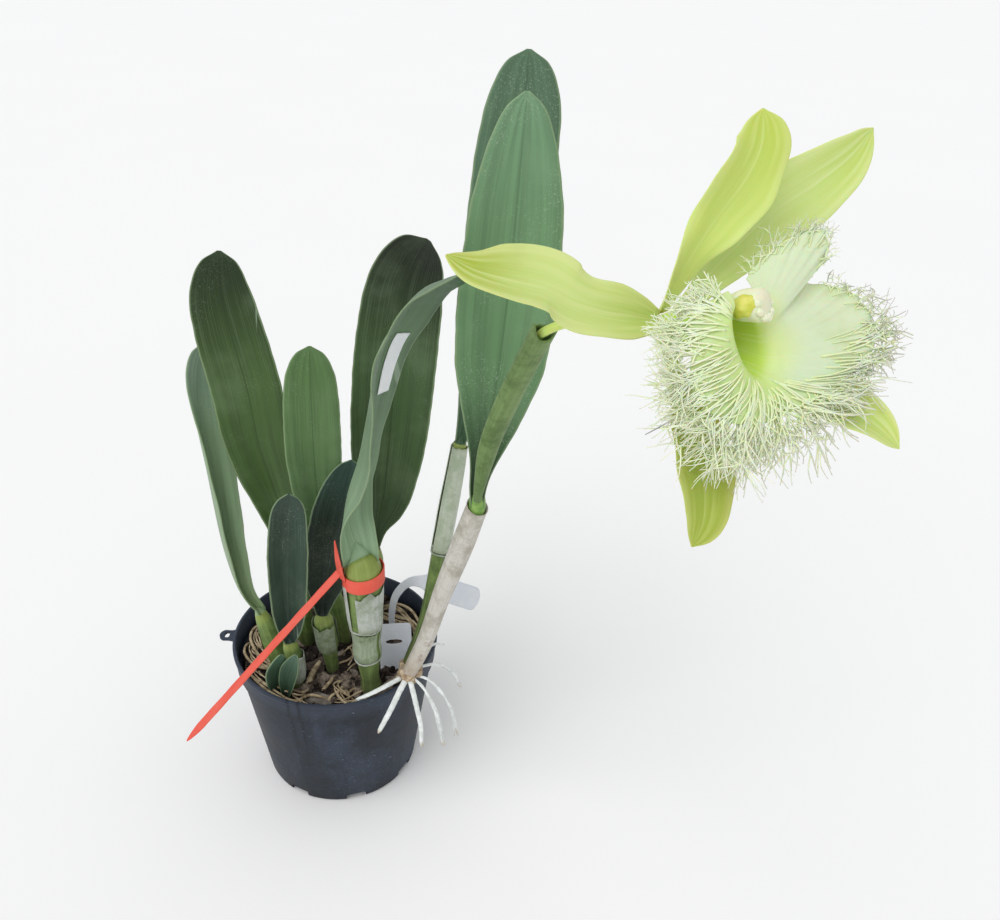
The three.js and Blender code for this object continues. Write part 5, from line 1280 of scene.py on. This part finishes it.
# the place, outward way, way along the margin and normal of a spot on the lip
def lipFrame(around, out):
    around, out = min(max(around, 0.012), 0.988), min(out, 0.99)
    spot = lipPoints([around, around + 0.01, around - 0.01, around, around],
                     [out, out, out, out + 0.01, out - 0.03])
    outward, beside = unit(spot[3] - spot[4]), unit(spot[1] - spot[2])
    return spot[0], outward, beside, unit(np.cross(beside, outward))


# lace: hairs that lie over the lip near its margin and run on freely past it
def makeFringe():
    rng = random.Random(fringe["seed"])
    lively = fringe["lively"]
    shells = []

    def flat():
        return rng.random() - 0.5

    def hair(points, thick, steps, grey):
        radius = [(0, thick), (0.6, thick * 0.75), (1, thick * 0.45)]
        points, faces, corners = stem(inFlower(points), radius, 4, steps)
        tones = np.stack([np.full(len(corners), grey), corners[:, 1]], 1)
        shells.append((points, faces, tones))

    def loose(start, way, length, curl, count=9):
        points, here = [start], np.array(start)
        bend, turned = np.array([flat(), flat(), flat()]), unit(way)
        for _ in range(count):
            bend = 0.6 * bend + np.array([flat(), flat(), flat()])
            turned = unit(turned + curl * bend)
            here = here + turned * length / count
            points.append(here)
        return np.array(points)

    for low, high, count, rootLow, rootHigh in fringe["bands"]:
        for i in range(count):
            around = low + (high - low) * (i + rng.random()) / count
            grey = float(np.clip(eased(fringe["grey"], around) + 0.3 * flat(), 0, 1))
            curl = fringe["curl"] * (3 if lively[0] < around < lively[1] else 1)
            length = float(eased(fringe["length"], around)) * (0.65 + 0.5 * rng.random())
            root = rootLow + (rootHigh - rootLow) * rng.random() ** 0.7
            side = 1 if rng.random() < fringe["farSide"] else -1
            lift, drift = side * (0.5 + 0.7 * rng.random()), 0.05 * flat()
            ride = []
            for s in (0, 0.33, 0.66, 0.95):
                spot, _, _, normal = lipFrame(around + drift * s, root + (1 - root) * s)
                ride.append(spot + normal * lift * min(1, 2 * s + 0.3))
            _, outward, beside, normal = lipFrame(around + drift, 0.98)
            way = outward + 0.9 * flat() * beside + 0.7 * flat() * normal
            free = loose(ride[-1], way, length, curl)
            thick = fringe["thick" if around < lively[0] else "thin"]
            thick = thick * (0.75 + 0.5 * rng.random())
            hair(np.array(ride[:-1] + list(free)), thick, 22, grey)
            # forks
            for n in range(2 + int(3 * rng.random())):
                at = free[1 + int(rng.random() * 6)]
                aside = beside * (1 if n % 2 else -1) * (0.5 + 0.7 * rng.random())
                turned = way + aside + normal * 1.2 * flat()
                part = length * (0.25 + 0.35 * rng.random())
                hair(loose(at, turned, part, curl * 1.5, 5), thick * 0.7, 9, grey)
    hair(np.array(fringe["stray"], float), 0.45, 24, 0.9)
    makePiece("lip_fringe", joinShells(shells), [finishes["fringe"]])


makeLip()
makeFringe()

print("stage: column")

column = dict(
    path=[[0, 0, -1.8], [0, 0, 6], [0, 0, 16], [-0.6, 0, 26], [-2, 0, 34], [-4, 0, 41]],
    radius=[(0, 4.2), (0.12, 4.4), (0.3, 3.6), (0.65, 4), (0.8, 5.6), (0.93, 6), (0.985, 4.4),
            (1, 2)],
    cap=(-2.4, 3.9, 34.5), capRadii=(4, 3.4, 5.6), lumps=9, lump=(1.6, 1.6, 1.5),
    crest=(-3.6, 39.4, 4.4))


# a lumpy oval of wax, radii in the flower's own frame
def waxLump(centre, radii, rough, shift):
    ball = ballRings(22, 32)
    push = 1 + rough * noiseOn(ball, 2.2, (shift, 1, 2))
    return tubeShell(inFlower(np.array(centre) + ball * np.array(radii) * push))


def makeColumn():
    skin = stem(inFlower(column["path"]).tolist(), column["radius"], 32, 90, furrowed(0.3, 5))
    makePiece("column_body", skin, [finishes["column"]], ["column"])
    cap = waxLump(column["cap"], column["capRadii"], 0.18, 4)
    makePiece("pollen_cap", cap, [finishes["cap"]])
    up, ahead, reach = column["crest"]
    lumps = [waxLump((up + reach * math.cos(turn), reach * math.sin(turn), ahead),
                     column["lump"], 0.35, turn) for turn in turnAngles(column["lumps"])]
    makePiece("column_crest", joinShells(lumps), [finishes["crest"]])


makeColumn()

print("stage: strap and labels")

tie = dict(centre=(26, -40, 181), inner=11.3, thick=0.9, wide=9, tilt=0.12, turn=0.9)
tieTail = dict(path=[[14.3, -44.5, 187], [0, -54, 172.6], [-26, -70.5, 146], [-68, -97, 103]],
               face=[[-0.5, -0.8, 0.4], [-0.3, -0.8, 0.5]], width=4.2,
               outline=[(0, 1), (0.9, 1), (1, 0.3)], fold=[(0, 0), (0.5, 14), (1, 4)],
               frill=(0.3, 7, 1))
tieEnd = dict(path=[[15.1, -46.8, 182], [14, -48.4, 193], [12.8, -49.5, 211]],
              face=[[-0.7, -0.7, 0.1]], width=4.6, outline=[(0, 1.3), (0.4, 1.1), (1, 0.12)],
              fold=[(0, 0), (1, 10)])


def makeStrap():
    angles = np.linspace(0, 2 * math.pi, 97)[:-1]
    inner, outer, half = tie["inner"], tie["inner"] + tie["thick"], tie["wide"] / 2
    rise = tie["tilt"] * outer * np.sin(angles + tie["turn"])
    flat, corner = half - 0.3, 0.25
    profile = [(outer, -flat), (outer, flat), (outer - corner, half), (inner + corner, half),
               (inner, flat), (inner, -flat), (inner + corner, -half), (outer - corner, -half),
               (outer, -flat)]
    x, y, z = tie["centre"]
    rings = np.stack([np.stack([x + r * np.cos(angles), y + r * np.sin(angles), z + rise + h], -1)
                      for r, h in profile])
    shells = [tubeShell(rings, capped=False)]
    for spec, rows in ((tieTail, 90), (tieEnd, 30)):
        upper, lower = bladeGrids(spec, np.linspace(0, 1, rows), np.linspace(-1, 1, 9),
                                  thickness=0.8, edge=0.7)
        shells.append(sheetShell(upper, lower, bulge=0.2)[:3])
    makePiece("vinyl_tie", joinShells(shells), [finishes["strap"]], ["tie_strap"])


loopLabel = dict(
    path=[[34, 20, 84], [34, 17, 104], [38, 13, 124], [48, 9, 138], [60, 7, 139], [74, 8, 132],
          [91, 9, 125]],
    face=[[-0.6, -0.8, 0.1], [-0.6, -0.8, 0.1], [-0.3, -0.8, 0.5], [0.1, -0.75, 0.6],
          [0.2, -0.75, 0.6]],
    width=15, outline=[(0, 0.34), (0.5, 0.34), (0.62, 0.5), (0.7, 1), (0.95, 1), (1, 0.9)],
    fold=[(0, 0), (1, 0)])
# where the sticker lies on the arching leaf, and how far its two faces stand off the leaf
stickerSpan = dict(shares=(0.433, 0.598), across=(0.167, 0.633), lifts=(0.6, 0.25), rows=26,
                   columns=16)


def makeLabels():
    upper, lower = bladeGrids(loopLabel, np.linspace(0, 1, 80), np.linspace(-1, 1, 9),
                              thickness=0.6, edge=0.6)
    skin = sheetShell(upper, lower, bulge=0.2)
    makePiece("blank_loop_label", skin, [finishes["label"]], ["label_loop"])
    # the card keeps the frame's own mesh
    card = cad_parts["label_card"]
    card.data.materials.clear()
    card.data.materials.append(finishes["label"])
    shares = np.linspace(*stickerSpan["shares"], stickerSpan["rows"])
    across = np.linspace(*stickerSpan["across"], stickerSpan["columns"])
    upper, lower = [bladeGrids(arching, shares, across, lift=lift)[0]
                    for lift in stickerSpan["lifts"]]
    skin = sheetShell(upper, lower, bulge=0.1)
    makePiece("blank_sticker", skin, [finishes["sticker"]], ["label_sticker"])


makeStrap()
makeLabels()

print("stage: floor, light and camera")

studio = dict(
    floorRadius=8, floorHeight=-0.0002, floorSides=96, sky="#f6f7f9", skyLight=0.74, sun=1.2,
    sunAngle=50, sunWay=(0.5, 0.6, -1))
photoView = dict(place=(0.101, -0.489, 0.536), pitch=31.5, roll=2.3, lens=36, sensor=36, clip=50)


def floorMaterial():
    # matt pale studio floor: emulsion paint, roughness 0.9
    tree, shader, material = newMaterial("matt_pale_floor", 1.45, 0.9, Specular_IOR_Level=0.1)
    cloudy = grain(tree, places(tree)[0], 3.0, detail=2.0)
    colour = mixed(tree, cloudy, hexColour("#f9f9f8"), hexColour("#fbfbfa"))
    tree.links.new(colour, shader.inputs["Base Color"])
    return material


def makeStage():
    mesh = bpy.data.meshes.new("studio_floor")
    radius, sides = studio["floorRadius"], studio["floorSides"]
    rim = [(radius * math.cos(t), radius * math.sin(t), studio["floorHeight"])
           for t in turnAngles(sides)]
    mesh.from_pydata(rim, [], [list(range(sides))])
    mesh.materials.append(floorMaterial())
    floor = addObject("studio_floor", mesh)
    world = bpy.data.worlds.new("soft_studio")
    bpy.context.scene.world = world
    world.use_nodes = True
    background = world.node_tree.nodes["Background"]
    background.inputs[0].default_value = hexColour(studio["sky"])
    background.inputs[1].default_value = studio["skyLight"]
    data = bpy.data.lights.new("soft_key", "SUN")
    data.energy = studio["sun"]
    data.angle = math.radians(studio["sunAngle"])
    lamp = addObject("soft_key", data)
    lamp.rotation_euler = Vector(studio["sunWay"]).to_track_quat("-Z", "Y").to_euler()


def makeCamera():
    pitch, roll = math.radians(photoView["pitch"]), math.radians(photoView["roll"])
    ahead = Vector((0, math.cos(pitch), -math.sin(pitch)))
    right = Vector((1, 0, 0))
    up = right.cross(ahead)
    rolledRight = right * math.cos(roll) + up * math.sin(roll)
    rolledUp = up * math.cos(roll) - right * math.sin(roll)
    data = bpy.data.cameras.new("photo_view")
    data.lens = photoView["lens"]
    data.sensor_width = photoView["sensor"]
    data.sensor_fit = "HORIZONTAL"
    data.clip_end = photoView["clip"]
    camera = addObject("photo_view", data)
    turn = Matrix((rolledRight, rolledUp, -ahead)).transposed()
    camera.matrix_world = Matrix.Translation(photoView["place"]) @ turn.to_4x4()
    bpy.context.scene.camera = camera


makeStage()
makeCamera()
bpy.context.scene.view_settings.view_transform = "Standard"
